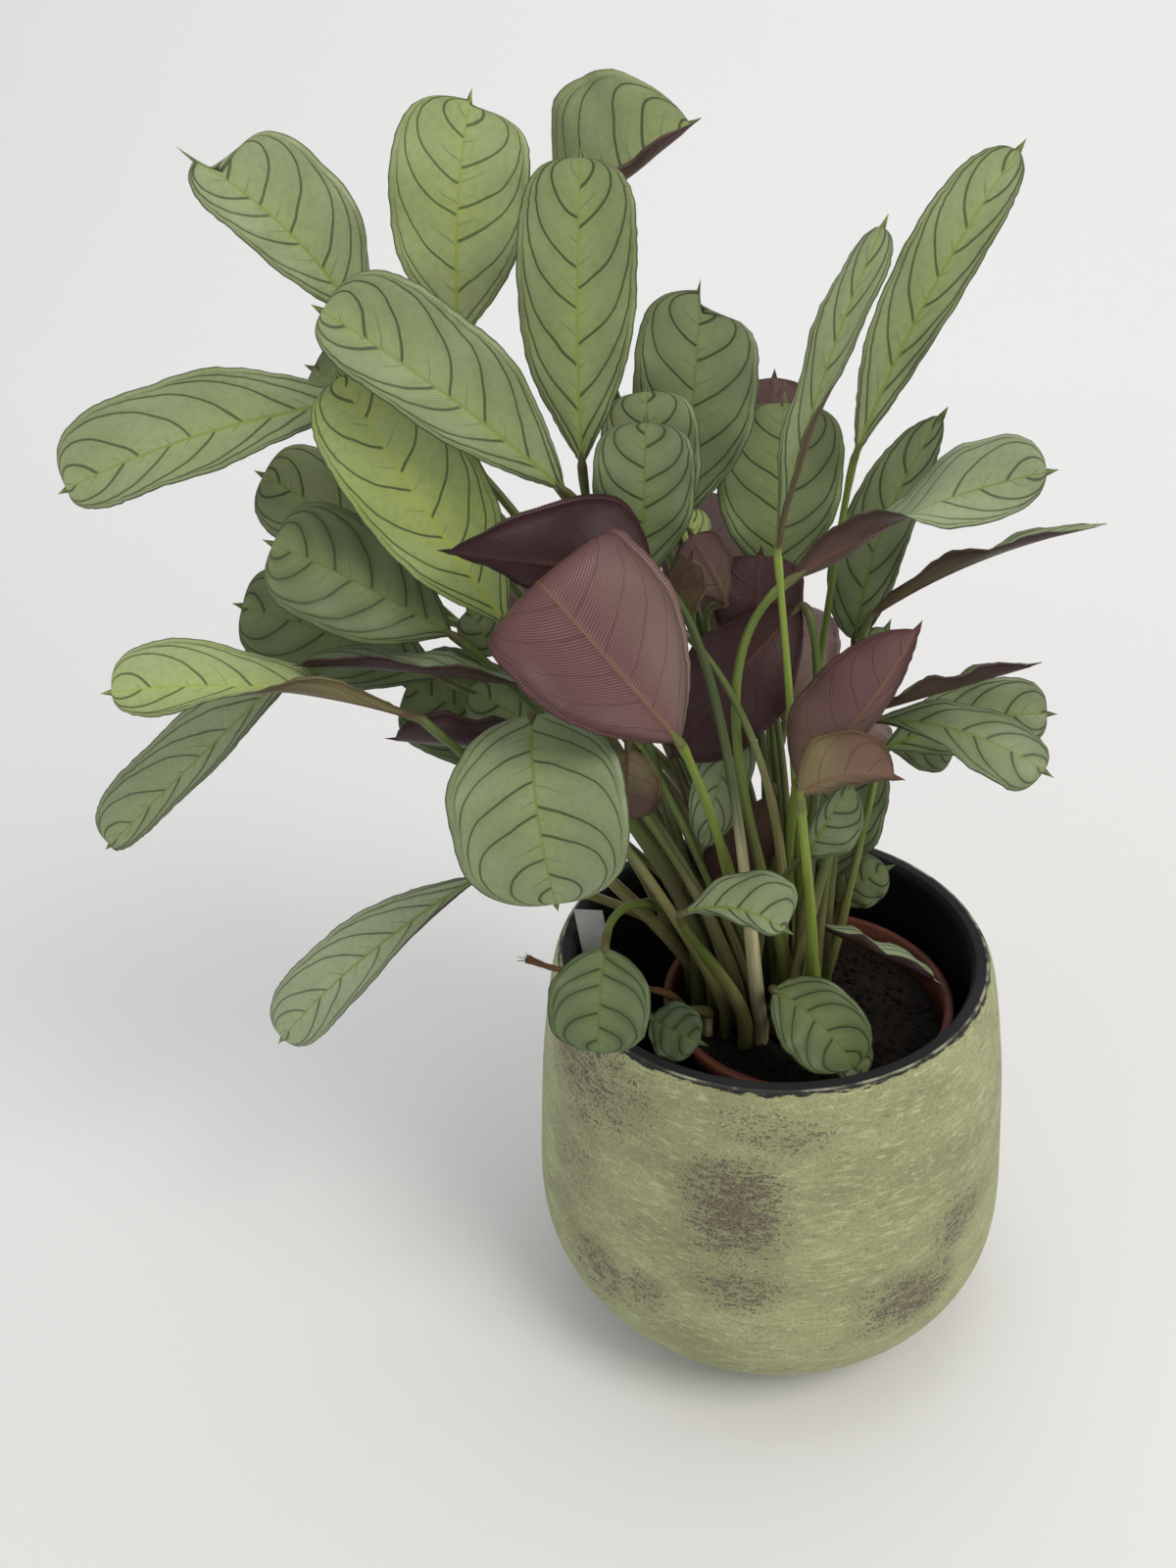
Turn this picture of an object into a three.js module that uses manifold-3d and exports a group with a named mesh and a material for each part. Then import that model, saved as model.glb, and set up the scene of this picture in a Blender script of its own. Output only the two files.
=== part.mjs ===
// Fishbone prayer plant in its plastic growing pot, standing in a weathered ceramic cover pot.
// Millimetres and degrees. Origin at the centre of the foot, +Z up, the viewer looks from -Y.
import * as THREE from "three";
import { mergeVertices } from "three/addons/utils/BufferGeometryUtils.js";
import Module from "manifold-3d";

const wasm = await Module();
wasm.setup();
const { Manifold, Mesh: SolidMesh } = wasm;

const vec = (x, y, z) => new THREE.Vector3(x, y, z);
const radians = THREE.MathUtils.degToRad;
const clamp = THREE.MathUtils.clamp;

// Cover pot
const POT_HEIGHT = 180;
const POT_SIDES = 36;
const FOOT_RADIUS = 68.8;
const FLOOR_THICKNESS = 12;
const POT_OUTSIDE = [
  [FOOT_RADIUS - 2, 0],
  [FOOT_RADIUS, 1.5],
  [84.2, 14.5],
  [97.3, 33],
  [102.4, 47],
  [103.2, 64],
  [101.3, 90],
  [98.6, 126],
  [94.1, 158],
  [91, 175],
  [88, POT_HEIGHT],
];
const POT_INSIDE = [
  [83, POT_HEIGHT],
  [81, 176],
  [85.5, 156],
  [89.6, 126],
  [92.3, 90],
  [93.1, 58],
  [88.2, 37],
  [78, 20],
  [66, FLOOR_THICKNESS],
];

// Growing pot, off the middle of the cover pot and standing on its floor
const GAP = 0.3;
const GROWING_CENTRE = [15.8, 1.2];
const GROWING_SIDES = 24;
const GROWING_BOTTOM = FLOOR_THICKNESS + GAP;
const GROWING_HEIGHT = 141;
const GROWING_WALL = 1.6;
const GROWING_BASE_RADIUS = 45;
const GROWING_RIM_RADIUS = 61;
const GROWING_LIP = 9;

// Soil
const SOIL_TOP = 144;
const SOIL_DOME = 2;
const HOLE_DEPTH = 16.5;

// Stalks: feet on a sunflower spiral, one place for each leaf or shoot
const CLUMP_CENTRE = [-3, 9];
const SPIRAL_STEP = 4.35;
const GOLDEN_ANGLE = Math.PI * (3 - Math.sqrt(5));
const STALK_SIDES = 6;
const NECK_SHARE = 0.985;
const STALK_PIECES = 5;
const ROOT_DEPTH = 16;
const COLLAR_HEIGHT = 8;
const STALK_FOOT_RADIUS = 3;
const STALK_NECK_RADIUS = 1.7;

// Blades
const BLADE_THICKNESS = 0.8;
const LEAST_HALF_WIDTH = 1.2;
const TIP_SPIKE = 4;
const EDGE_WAVE = 1.5;
const WAVES_ALONG = 2.6;
const WAVE_PHASE = [2.6, 0.9];
const SKYWARD = vec(0, -0.8, 0.6);
const ROWS_LARGE = [0, 0.06, 0.2, 0.4, 0.62, 0.82, 0.95, 1];
const ROWS_SMALL = [0, 0.1, 0.32, 0.6, 0.86, 1];
const COLUMNS = 4;
const COLUMNS_FOLDED = 6;
const FOLD_FROM = 70;
const SMALL_HALF = 20.5;

// Blade outlines: where the blade is widest, how full its base is and how pointed its end is
const OUTLINES = {
  long: { widest: 0.58, base: 0.95, point: 0 },
  round: { widest: 0.48, base: 0.55, point: 0.6 },
  broad: { widest: 0.34, base: 0.5, point: 1 },
  narrow: { widest: 0.5, base: 0.8, point: 1 },
  oval: { widest: 0.45, base: 0.45, point: 0.5 },
  wedge: { widest: 0.24, base: 0.5, point: 1.6 },
  fan: { widest: 0.55, base: 0.8, point: 0.3 },
  club: { widest: 0.75, base: 1.1, point: 0.3 },
  tongue: { widest: 0.6, base: 0.9, point: 0.45 },
  dome: { widest: 0.42, base: 0.55, point: 1.2 },
  fold: { widest: 0.5, base: 0.8, point: 0.5 },
};

// Leaves. neck and tip are the midrib's ends, half the widths left and right of it, turn the roll of the
// blade about the midrib (0 shows the top side, 180 the underside) and twist its change from neck to tip.
// arch lifts the midrib's middle, sway moves it sideways, curl folds each half up and open unfolds it
// toward the tip. skew slants the end, hook rolls it back. place is the foot's place on the spiral.
const LEAVES = [
  { name: "leaf_01", place: 35, neck: [-149, 25, 427], tip: [-192, 15, 482], half: [13, 25], arch: 4,
    sway: 4, curl: [15, 10], spike: 7, skew: -5, rise: 0.15, reach: 0.05, bend: [-8, -5] },
  { name: "leaf_02", place: 14, neck: [-113, 21, 422], tip: [-104, 27, 497], half: [24, 25], arch: 3,
    sway: -2, curl: [12, 12], skew: -1, rise: 0.55, reach: 0.1, bend: [4, -2] },
  { name: "leaf_03", place: 4, neck: [-69, 0, 384], tip: [-65, 4, 482], half: [20, 20], arch: 3, sway: -1,
    curl: [12, 12], rise: 0.25, reach: 0.3, bend: [0, 7] },
  { name: "leaf_04", place: 40, neck: [-76, 45, 457], tip: [-33, 40, 487], half: [38, 14], arch: 4,
    curl: [5, 140], shape: "dome", reach: 0.05, bend: [-1, 2] },
  { name: "leaf_05", place: 6, neck: [-73, -13, 379], tip: [-145, -29, 444], half: [14, 24], arch: 6,
    sway: 1, curl: [15, 15], rise: 0.35, bend: [0, 7] },
  { name: "leaf_06", place: 46, neck: [-144, 5, 407], tip: [-251, -19, 383], half: [14, 22], turn: -8,
    arch: 6, sway: 3, curl: [12, 20], rise: 0.55, reach: 0.1, bend: [0, -3] },
  { name: "leaf_07", place: 19, neck: [-127, 35, 376], tip: [-175, 41, 409], half: [18, 18], arch: 3,
    sway: 2, curl: [10, 10], rise: 0.35, reach: 0.15, bend: [-1, 0] },
  { name: "leaf_08", place: 20, neck: [-97, -12, 328], tip: [-144, -24, 422], half: [20, 25], arch: 4,
    sway: -1, curl: [12, 12], reach: 0.1, bend: [-5, -7] },
  { name: "leaf_09", place: 22, neck: [-135, 21, 325], tip: [-192, 17, 376], half: [19, 20], arch: 3,
    sway: 3, curl: [10, 10], rise: 0.6, reach: 0.45, bend: [5, 11] },
  { name: "leaf_10", place: 33, neck: [-118, -13, 325], tip: [-176, -25, 365], half: [21, 22], arch: 4,
    sway: 1, curl: [12, 12], rise: 0.25, reach: 0.3, bend: [3, -14] },
  { name: "leaf_11", place: 25, neck: [-129, 4, 299], tip: [-199, -8, 334], half: [20, 20], turn: -10,
    arch: 4, sway: 2, curl: [12, 12], reach: 0.25, bend: [3, -3] },
  { name: "leaf_12", place: 38, neck: [-124, -45, 307], tip: [-234, -53, 320], half: [12, 20], turn: 55,
    twist: -90, arch: 4, sway: 6, curl: [150, 30], open: 1.15, rise: 0.15, reach: 0.1, bend: [-8, -5] },
  { name: "leaf_13", place: 12, neck: [-172, 6, 317], tip: [-275, -12, 227], half: [9, 18], turn: -10,
    arch: 6, sway: -1, curl: [40, 25], rise: 0.6, bend: [2, 0] },
  { name: "leaf_14", place: 28, neck: [-82, -25, 310], tip: [-170, -31, 321], half: [9, 15], turn: 65,
    arch: 2, curl: [80, 30], stem: 0.8, rise: 0.35, reach: 0.05, bend: [-7, -6] },
  { name: "leaf_15", place: 17, shoot: "shoot_15_55", neck: [-105, -3, 313], tip: [-113, -5, 332],
    half: [9, 9], arch: 2, curl: [10, 10], shape: "round", stem: 0.8, rise: 0.45, bend: [0, 1] },
  { name: "leaf_16", place: 9, neck: [-91, 15, 264], tip: [-144, 7, 294], half: [22, 22], arch: 3,
    curl: [10, 10], rise: 0.35, reach: 0.4, bend: [-12, 0] },
  { name: "leaf_17", place: 41, neck: [-83, -30, 286], tip: [-137, -38, 295], half: [18, 12], turn: 75,
    curl: [110, 60], shape: "round", stem: 0.8, rise: 0.15, reach: 0.05, bend: [0, -2] },
  { name: "leaf_18", place: 51, neck: [-86, -37, 305], tip: [-75, -75, 251], half: [32, 31], arch: 16,
    curl: [14, 14], shape: "oval", rise: 0.15, reach: 0.1, bend: [-3, -3] },
  { name: "leaf_19", place: 43, neck: [-111, -29, 231], tip: [-203, -41, 151], half: [13, 17], turn: -5,
    arch: 6, sway: 4, curl: [150, 15], open: 1.1, rise: 0.15, reach: 0.05, bend: [-2, 4] },
  { name: "leaf_20", place: 30, neck: [-60, -65, 224], tip: [-61, -87, 194], half: [19, 19], arch: 6,
    curl: [12, 12], shape: "round", rise: 0.3, reach: 0.25, bend: [-4, 9] },
  { name: "leaf_21", place: 54, neck: [-47, -34, 165], tip: [-27, -44, 163], half: [12, 12], arch: 2,
    curl: [10, 10], shape: "round", stem: 0.8, rise: 0.15, reach: 0.35, bend: [7, -1] },
  { name: "leaf_22", place: 23, shoot: "shoot_22_23", neck: [2, -38, 186], tip: [33, -58, 167],
    half: [16, 17], arch: 4, sway: -3, curl: [12, 12], shape: "round", rise: 0.35, reach: 0.25,
    bend: [7, -4] },
  { name: "leaf_23", place: 23, shoot: "shoot_22_23", neck: [25, -41, 166], tip: [38, -51, 158],
    half: [9, 9], arch: 2, curl: [10, 10], shape: "round", stem: 0.8, rise: 0.3, reach: 0.15,
    bend: [-10, -2] },
  { name: "leaf_24", place: 49, neck: [-33, -44, 226], tip: [5, -58, 231], half: [17, 6], turn: -15,
    arch: 3, sway: -4, curl: [12, 12], shape: "club", rise: 0.25, reach: 0.1 },
  { name: "leaf_25", place: 26, neck: [14, -3, 196], tip: [65, -17, 178], half: [10, 9], turn: -70,
    curl: [30, 80], stem: 0.8, rise: 0.25, reach: 0.05, bend: [-2, 0] },
  { name: "leaf_26", place: 29, neck: [28, 22, 188], tip: [47, 20, 206], half: [11, 11], arch: 2, sway: -1,
    curl: [10, 10], shape: "round", stem: 0.8, rise: 0.3, bend: [4, 0] },
  { name: "leaf_27", place: 16, neck: [24, 19, 198], tip: [31, 19, 260], half: [17, 17], arch: 2,
    curl: [10, 10], reach: 0.35, bend: [2, 0] },
  { name: "leaf_28", place: 39, neck: [33, -19, 296], tip: [93, -33, 285], half: [12, 15], turn: -20,
    arch: 4, sway: -4, curl: [15, 120], open: 1.2, stem: 0.8, rise: 0.45, reach: 0.05, bend: [-1, -4] },
  { name: "leaf_29", place: 42, neck: [41, 12, 267], tip: [100, 8, 286], half: [15, 13], arch: 5, sway: -3,
    curl: [12, 12], stem: 0.8, rise: 0.15, reach: 0.1, bend: [8, -5] },
  { name: "leaf_30", place: 50, shoot: "shoot_30_54", neck: [45, 31, 257], tip: [71, 29, 259],
    half: [10, 12], arch: 2, sway: -2, curl: [10, 10], stem: 0.8, rise: 0.25, reach: 0.05, bend: [2, -1] },
  { name: "leaf_31", place: 44, neck: [32, -30, 306], tip: [83, -36, 327], half: [9, 9], turn: -75,
    curl: [50, 80], shape: "narrow", stem: 0.8, rise: 0.25, reach: 0.05, bend: [8, 4] },
  { name: "leaf_32", place: 34, neck: [33, 0, 329], tip: [103, -10, 366], half: [9, 9], turn: -80,
    twist: 40, arch: 4, curl: [40, 80], open: 0.5, shape: "narrow", stem: 0.8, rise: 0.35, reach: 0.05,
    bend: [1, -3] },
  { name: "leaf_33", place: 31, neck: [4, -14, 348], tip: [84, -18, 387], half: [22, 14], turn: -70,
    twist: 150, arch: 4, sway: -7, curl: [150, 25], open: 1.5, shape: "fold", rise: 0.25, reach: 0.25,
    bend: [-4, -2] },
  { name: "leaf_34", place: 37, neck: [29, 25, 308], tip: [55, 29, 392], half: [15, 11], arch: 3, sway: -5,
    curl: [12, 12], shape: "broad", stem: 0.8, rise: 0.25, reach: 0.3, bend: [5, 11] },
  { name: "leaf_35", place: 45, neck: [25, 15, 382], tip: [70, 17, 478], half: [15, 10], arch: 4, sway: -3,
    curl: [20, 20], shape: "tongue", stem: 0.8, rise: 0.25, reach: 0.05 },
  { name: "leaf_36", place: 13, neck: [-1, -24, 363], tip: [28, -16, 462], half: [11, 12], turn: -40,
    arch: 4, curl: [30, 150], open: 1.1, shape: "tongue", stem: 0.8, rise: 0.3, reach: 0.05,
    bend: [3, -7] },
  { name: "leaf_37", place: 24, neck: [-2, 28, 328], tip: [0, 34, 396], half: [23, 23], arch: 3,
    curl: [12, 12], rise: 0.45, reach: 0.15, bend: [-6, 0] },
  { name: "leaf_38", place: 11, neck: [-37, 26, 354], tip: [-30, 36, 431], half: [22, 23], arch: 3, sway: 1,
    curl: [12, 12], skew: -4, reach: 0.1, bend: [-1, -5] },
  { name: "leaf_39", place: 2, neck: [-48, -5, 344], tip: [-46, -3, 400], half: [18, 18], arch: 3,
    curl: [12, 12], rise: 0.2, reach: 0.25, bend: [-3, 13] },
  { name: "leaf_40", place: 1, neck: [-44, 8, 351], tip: [-47, 10, 407], half: [17, 18], arch: 3,
    curl: [12, 12], rise: 0.2, reach: 0.1, bend: [-9, 8] },
  { name: "leaf_41", place: 36, neck: [-43, -29, 355], tip: [-110, -37, 367], half: [27, 15], turn: 150,
    twist: -60, curl: [20, 20], shape: "wedge", rise: 0.15, bend: [-10, -17] },
  { name: "leaf_42", place: 7, neck: [-32, -59, 308], tip: [-90, -45, 374], half: [33, 28], turn: 180,
    arch: -8, curl: [12, 12], shape: "fan", hook: [0.7, 150], rise: 0.3, reach: 0.05, bend: [-2, 6] },
  { name: "leaf_43", place: 10, shoot: "shoot_43_50", neck: [-35, -23, 334], tip: [-30, -25, 360],
    half: [9, 9], turn: 150, arch: -2, curl: [30, 30], stem: 0.8, rise: 0.55, reach: 0.05,
    bend: [20, -17] },
  { name: "leaf_44", place: 18, neck: [8, 3, 331], tip: [-38, -11, 276], half: [22, 22], turn: 190,
    arch: -4, curl: [20, 20], shape: "narrow", rise: 0.15, reach: 0.05, bend: [7, -15] },
  { name: "leaf_45", place: 0, shoot: "shoot_45_53", neck: [-19, -1, 333], tip: [-31, -1, 359],
    half: [10, 10], turn: 190, arch: -3, curl: [30, 30], stem: 0.8, rise: 0.75, reach: 0.05,
    bend: [-24, 21] },
  { name: "leaf_46", place: 3, neck: [-9, 12, 302], tip: [-7, 14, 346], half: [17, 17], turn: 180, arch: -3,
    curl: [15, 15], rise: 0.5, reach: 0.05, bend: [0, 1] },
  { name: "leaf_47", place: 5, neck: [9, -35, 280], tip: [46, -31, 337], half: [6, 22], turn: 180, arch: -4,
    sway: -3, curl: [20, 20], shape: "broad", rise: 0.45, reach: 0.05, bend: [1, 6] },
  { name: "leaf_48", place: 52, neck: [9, -56, 287], tip: [39, -62, 298], half: [4, 18], turn: 170,
    arch: -2, sway: 3, curl: [20, 20], shape: "broad", rise: 0.25, reach: 0.05, bend: [5, -3] },
  { name: "leaf_49", place: 8, neck: [-11, -3, 304], tip: [-27, -13, 236], half: [12, 11], arch: 3,
    curl: [20, 20], shape: "narrow", stem: 0.8, rise: 0.3, bend: [3, 6] },
  { name: "leaf_50", place: 10, shoot: "shoot_43_50", neck: [-32, 15, 329], tip: [-33, 17, 362],
    half: [10, 10], turn: 60, arch: 2, curl: [10, 10], stem: 0.8, reach: 0.15, bend: [-1, 4] },
  { name: "leaf_51", place: 15, shoot: "shoot_51_52", neck: [12, -40, 251], tip: [26, -44, 284],
    half: [5, 13], arch: 2, curl: [10, 10], shape: "narrow", stem: 0.8, rise: 0.15, bend: [-8, 5] },
  { name: "leaf_52", place: 15, shoot: "shoot_51_52", neck: [-53, -29, 288], tip: [-54, -31, 259],
    half: [13, 13], turn: 180, arch: -2, curl: [15, 15], shape: "round", stem: 0.8, rise: 0.15,
    bend: [-3, -6] },
  { name: "leaf_53", place: 0, shoot: "shoot_45_53", neck: [0, -3, 255], tip: [-20, -5, 212],
    half: [13, 13], turn: 180, arch: -2, curl: [15, 15], stem: 0.8, rise: 0.15, bend: [-11, 2] },
  { name: "leaf_54", place: 50, shoot: "shoot_30_54", neck: [32, 15, 293], tip: [40, 15, 317], half: [9, 9],
    arch: 2, curl: [10, 10], shape: "round", stem: 0.8, rise: 0.45, reach: 0.15, bend: [0, 2] },
  { name: "leaf_55", place: 17, shoot: "shoot_15_55", neck: [-74, 6, 263], tip: [-117, 2, 296],
    half: [17, 17], arch: 2, curl: [10, 10], shape: "round", rise: 0.45, reach: 0.4, bend: [-5, -5] },
  { name: "leaf_56", place: 27, shoot: "shoot_56_57", neck: [-62, 45, 262], tip: [-118, 67, 312],
    half: [18, 19], turn: 200, arch: -6, curl: [14, 14], rise: 0.15, bend: [-3, -1] },
  { name: "leaf_57", place: 27, shoot: "shoot_56_57", neck: [-48, 62, 250], tip: [-84, 112, 268],
    half: [20, 19], turn: 190, arch: -10, curl: [14, 14], shape: "oval", rise: 0.15, reach: 0.1,
    bend: [3, -5] },
  { name: "leaf_58", place: 53, shoot: "shoot_58_59", neck: [-22, 66, 280], tip: [-38, 112, 336],
    half: [19, 20], turn: 185, arch: -8, curl: [14, 14], rise: 0.3, reach: 0.15, bend: [-1, 3] },
  { name: "leaf_59", place: 53, shoot: "shoot_58_59", neck: [4, 63, 252], tip: [8, 119, 282],
    half: [21, 20], turn: 180, arch: -10, curl: [14, 14], shape: "oval", rise: 0.25, reach: 0.1,
    bend: [-2, 1] },
  { name: "leaf_60", place: 32, shoot: "shoot_60_61", neck: [-6, 52, 318], tip: [-4, 84, 392],
    half: [18, 18], turn: 180, arch: -6, curl: [14, 14], rise: 0.45, reach: 0.05, bend: [0, -1] },
  { name: "leaf_61", place: 32, shoot: "shoot_60_61", neck: [22, 57, 232], tip: [40, 103, 236],
    half: [18, 17], turn: 175, arch: -10, curl: [14, 14], shape: "oval", rise: 0.35, reach: 0.05,
    bend: [-1, 5] },
  { name: "leaf_62", place: 48, shoot: "shoot_62_63", neck: [-72, 36, 214], tip: [-122, 62, 206],
    half: [18, 18], turn: 190, arch: -10, curl: [14, 14], shape: "oval", rise: 0.15, reach: 0.05,
    bend: [-3, -3] },
  { name: "leaf_63", place: 48, shoot: "shoot_62_63", neck: [-30, 60, 214], tip: [-52, 104, 196],
    half: [17, 17], turn: 180, arch: -10, curl: [14, 14], shape: "oval", rise: 0.15, reach: 0.05,
    bend: [0, -4] },
];

// Plant label: a bare pointed strip that stands in the gap on the cover pot's floor and leans at its wall
const LABEL_FOOT = [-56, 4, FLOOR_THICKNESS + GAP];
const LABEL_TOP = [-75, -6, 198];
const LABEL_HALF_WIDTH = 6;
const LABEL_POINT_HALF_WIDTH = 2;
const LABEL_SHOULDER = 0.08;
const LABEL_HALF_THICKNESS = 0.45;

// Dry stub of an old stalk that leans out over the cover pot's rim
const STUB_FOOT = [-34, -11];
const STUB_WAY = [
  [-40, -14, 161],
  [-55, -22, 172],
  [-70, -31, 184],
  [-84, -39, 193],
  [-95, -41, 199],
];
const STUB_RADII = [1.8, 1.8, 1.6, 1.3, 1.2, 1.1, 2.2];

// Colours
const LEAF_GREEN = 0x8a9f76;
const YOUNG_GREEN = 0xa9b673;
const WINE = 0x5d3340;
const CERAMIC = 0xa3ab86;
const TERRACOTTA = 0x6b3a2c;
const SOIL_BROWN = 0x1d1815;
const LABEL_WHITE = 0xc9ccc8;
const DRY_BROWN = 0x5a4332;
const YOUNG_LEAVES = ["leaf_02", "leaf_08", "leaf_12", "leaf_35"];
const WINE_LEAVES = ["leaf_41", "leaf_42", "leaf_44", "leaf_46", "leaf_47", "leaf_48"];

// A closed solid from rings of points, each ring running the same way round as seen along the loft
class Loft {
  constructor() {
    this.points = [];
    this.faces = [];
    this.last = null;
  }

  addPoint(point) {
    this.points.push(point);
    return this.points.length - 1;
  }

  addRing(ring, firstMatch = 0) {
    const indices = ring.map((point) => this.addPoint(point));
    if (this.last?.length === indices.length) this.stitchEven(this.last, indices);
    else if (this.last) this.stitch(this.last, indices, firstMatch);
    this.last = indices;
  }

  // Joins two rings of the same count. Its second half mirrors the first, so that the top side and the
  // underside of a blade fold along the same lines
  stitchEven(lower, upper) {
    lower.forEach((here, k) => {
      const next = (k + 1) % lower.length;
      if (k < lower.length / 2) this.faces.push([here, lower[next], upper[k]], [lower[next], upper[next], upper[k]]);
      else this.faces.push([here, upper[next], upper[k]], [here, lower[next], upper[next]]);
    });
  }

  // Joins two rings whose counts differ, going round both by the same share
  stitch(lower, upper, firstMatch) {
    let i = 0;
    let j = 0;
    const low = (k) => lower[(k + firstMatch) % lower.length];
    const up = (k) => upper[k % upper.length];
    while (i < lower.length || j < upper.length) {
      const stepLower = j >= upper.length || (i < lower.length && (i + 1) / lower.length <= (j + 1) / upper.length);
      if (stepLower) {
        this.faces.push([low(i), low(i + 1), up(j)]);
        i += 1;
      } else {
        this.faces.push([low(i), up(j + 1), up(j)]);
        j += 1;
      }
    }
  }

  closeStart() {
    const ring = this.last;
    for (let k = 1; k < ring.length - 1; k += 1) this.faces.push([ring[0], ring[k + 1], ring[k]]);
  }

  closeEnd() {
    const ring = this.last;
    for (let k = 1; k < ring.length - 1; k += 1) this.faces.push([ring[0], ring[k], ring[k + 1]]);
  }

  closeToPoint(point) {
    const apex = this.addPoint(point);
    this.last.forEach((index, k) => this.faces.push([index, this.last[(k + 1) % this.last.length], apex]));
  }

  geometry() {
    const geometry = new THREE.BufferGeometry();
    geometry.setAttribute("position", new THREE.Float32BufferAttribute(this.points.flatMap((p) => p.toArray()), 3));
    geometry.setIndex(this.faces.flat());
    return geometry;
  }
}

// Solids for the joins and cuts, and back to a geometry
function toSolid(source) {
  const bare = source.clone();
  bare.deleteAttribute("normal");
  bare.deleteAttribute("uv");
  const merged = mergeVertices(bare, 1e-4);
  return new Manifold(new SolidMesh({
    numProp: 3,
    vertProperties: Float32Array.from(merged.attributes.position.array),
    triVerts: Uint32Array.from(merged.index.array),
  }));
}

function toGeometry(solid) {
  const mesh = solid.getMesh();
  const geometry = new THREE.BufferGeometry();
  geometry.setAttribute("position", new THREE.BufferAttribute(Float32Array.from(mesh.vertProperties), 3));
  geometry.setIndex(Array.from(mesh.triVerts));
  geometry.computeVertexNormals();
  return geometry;
}

// A turned body about the Z axis; the profile runs from the axis up the outside and back to the axis
function turned(profile, sides) {
  const points = profile.map(([radius, height]) => new THREE.Vector2(radius, height));
  return new THREE.LatheGeometry(points, sides).rotateX(Math.PI / 2);
}

// Blade form
function outlineAt(shape, t) {
  const { widest, base, point } = OUTLINES[shape];
  if (t < widest) return Math.sin((Math.PI / 2) * (t / widest)) ** base;
  const share = (t - widest) / (1 - widest);
  return Math.max(0, 1 - share ** (4.5 - 2 * point)) ** (0.36 + 0.24 * point);
}

const smooth = (t) => t * t * (3 - 2 * t);

function perpendicular(direction, axis) {
  return direction.clone().addScaledVector(axis, -direction.dot(axis)).normalize();
}

function bladeAxes(leaf) {
  const neck = vec(...leaf.neck);
  const chord = vec(...leaf.tip).sub(neck);
  const along = chord.clone().normalize();
  const facing = perpendicular(SKYWARD, along);
  const beside = along.clone().cross(facing);
  return { neck, chord, facing, beside };
}

function rolled(axes, angle) {
  const up = axes.facing.clone().multiplyScalar(Math.cos(angle)).addScaledVector(axes.beside, Math.sin(angle));
  const side = axes.beside.clone().multiplyScalar(Math.cos(angle)).addScaledVector(axes.facing, -Math.sin(angle));
  return { up, side };
}

// Midrib point, direction, top-side normal and sideways direction at t
function midribAt(leaf, t) {
  const axes = bladeAxes(leaf);
  const { up, side } = rolled(axes, radians(leaf.turn));
  const bow = up.multiplyScalar(leaf.arch).addScaledVector(side, leaf.sway);
  const point = axes.neck.clone().addScaledVector(axes.chord, t).addScaledVector(bow, 4 * t * (1 - t));
  const heading = axes.chord.clone().addScaledVector(bow, 4 - 8 * t).normalize();
  const roll = rolled(axes, radians(leaf.turn + leaf.twist * (smooth(t) - 0.5)));
  const normal = perpendicular(roll.up, heading);
  return { point, heading, normal, sideways: heading.clone().cross(normal) };
}

// The end of a hooked blade rolls back toward its top side
function frameAt(leaf, t) {
  if (!leaf.hook || t <= leaf.hook[0]) return midribAt(leaf, t);
  const [start, angle] = leaf.hook;
  const length = bladeAxes(leaf).chord.length();
  const radius = ((1 - start) * length) / radians(angle);
  const rolledBack = ((t - start) * length) / radius;
  const from = midribAt(leaf, start);
  const point = from.point
    .addScaledVector(from.heading, radius * Math.sin(rolledBack))
    .addScaledVector(from.normal, radius * (1 - Math.cos(rolledBack)));
  const heading = from.heading.clone().multiplyScalar(Math.cos(rolledBack))
    .addScaledVector(from.normal, Math.sin(rolledBack));
  const normal = from.normal.clone().multiplyScalar(Math.cos(rolledBack))
    .addScaledVector(from.heading, -Math.sin(rolledBack));
  return { point, heading, normal, sideways: from.sideways };
}

// Middle of the blade's thickness at t along and u across, with its normal
function bladeAt(leaf, frame, t, u) {
  const right = u >= 0 ? 1 : 0;
  const sign = u < 0 ? -1 : 1;
  const share = Math.abs(u);
  const halfWidth = Math.max(leaf.half[right] * outlineAt(leaf.shape, t), LEAST_HALF_WIDTH);
  const fold = radians(leaf.curl[right]) * clamp(1 - leaf.open * t, -0.2, 1);
  const bend = Math.abs(fold) < 1e-3 ? 1e-3 : fold;
  const across = (halfWidth * Math.sin(bend * share)) / bend;
  const ripple = Math.sin(2 * Math.PI * WAVES_ALONG * t + WAVE_PHASE[right]) * Math.sin(Math.PI * t);
  const lift = (halfWidth * (1 - Math.cos(bend * share))) / bend + EDGE_WAVE * share * share * ripple;
  const point = frame.point.clone()
    .addScaledVector(frame.sideways, sign * across)
    .addScaledVector(frame.normal, lift)
    .addScaledVector(frame.heading, leaf.skew * u * t * t);
  const normal = frame.normal.clone().multiplyScalar(Math.cos(bend * share))
    .addScaledVector(frame.sideways, -sign * Math.sin(bend * share));
  return { point, normal };
}

// Top side from left to right, then the underside back
function bladeRing(leaf, t, columns) {
  const frame = frameAt(leaf, t);
  const top = [];
  const under = [];
  for (let k = 0; k <= columns; k += 1) {
    const { point, normal } = bladeAt(leaf, frame, t, (2 * k) / columns - 1);
    top.push(point.clone().addScaledVector(normal, BLADE_THICKNESS / 2));
    under.unshift(point.clone().addScaledVector(normal, -BLADE_THICKNESS / 2));
  }
  return [...top, ...under];
}

// Stalks
function placeOnSpiral(place) {
  const angle = place * GOLDEN_ANGLE;
  const radius = SPIRAL_STEP * Math.sqrt(place + 0.6);
  return [CLUMP_CENTRE[0] + radius * Math.cos(angle), CLUMP_CENTRE[1] + radius * Math.sin(angle)];
}

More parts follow.
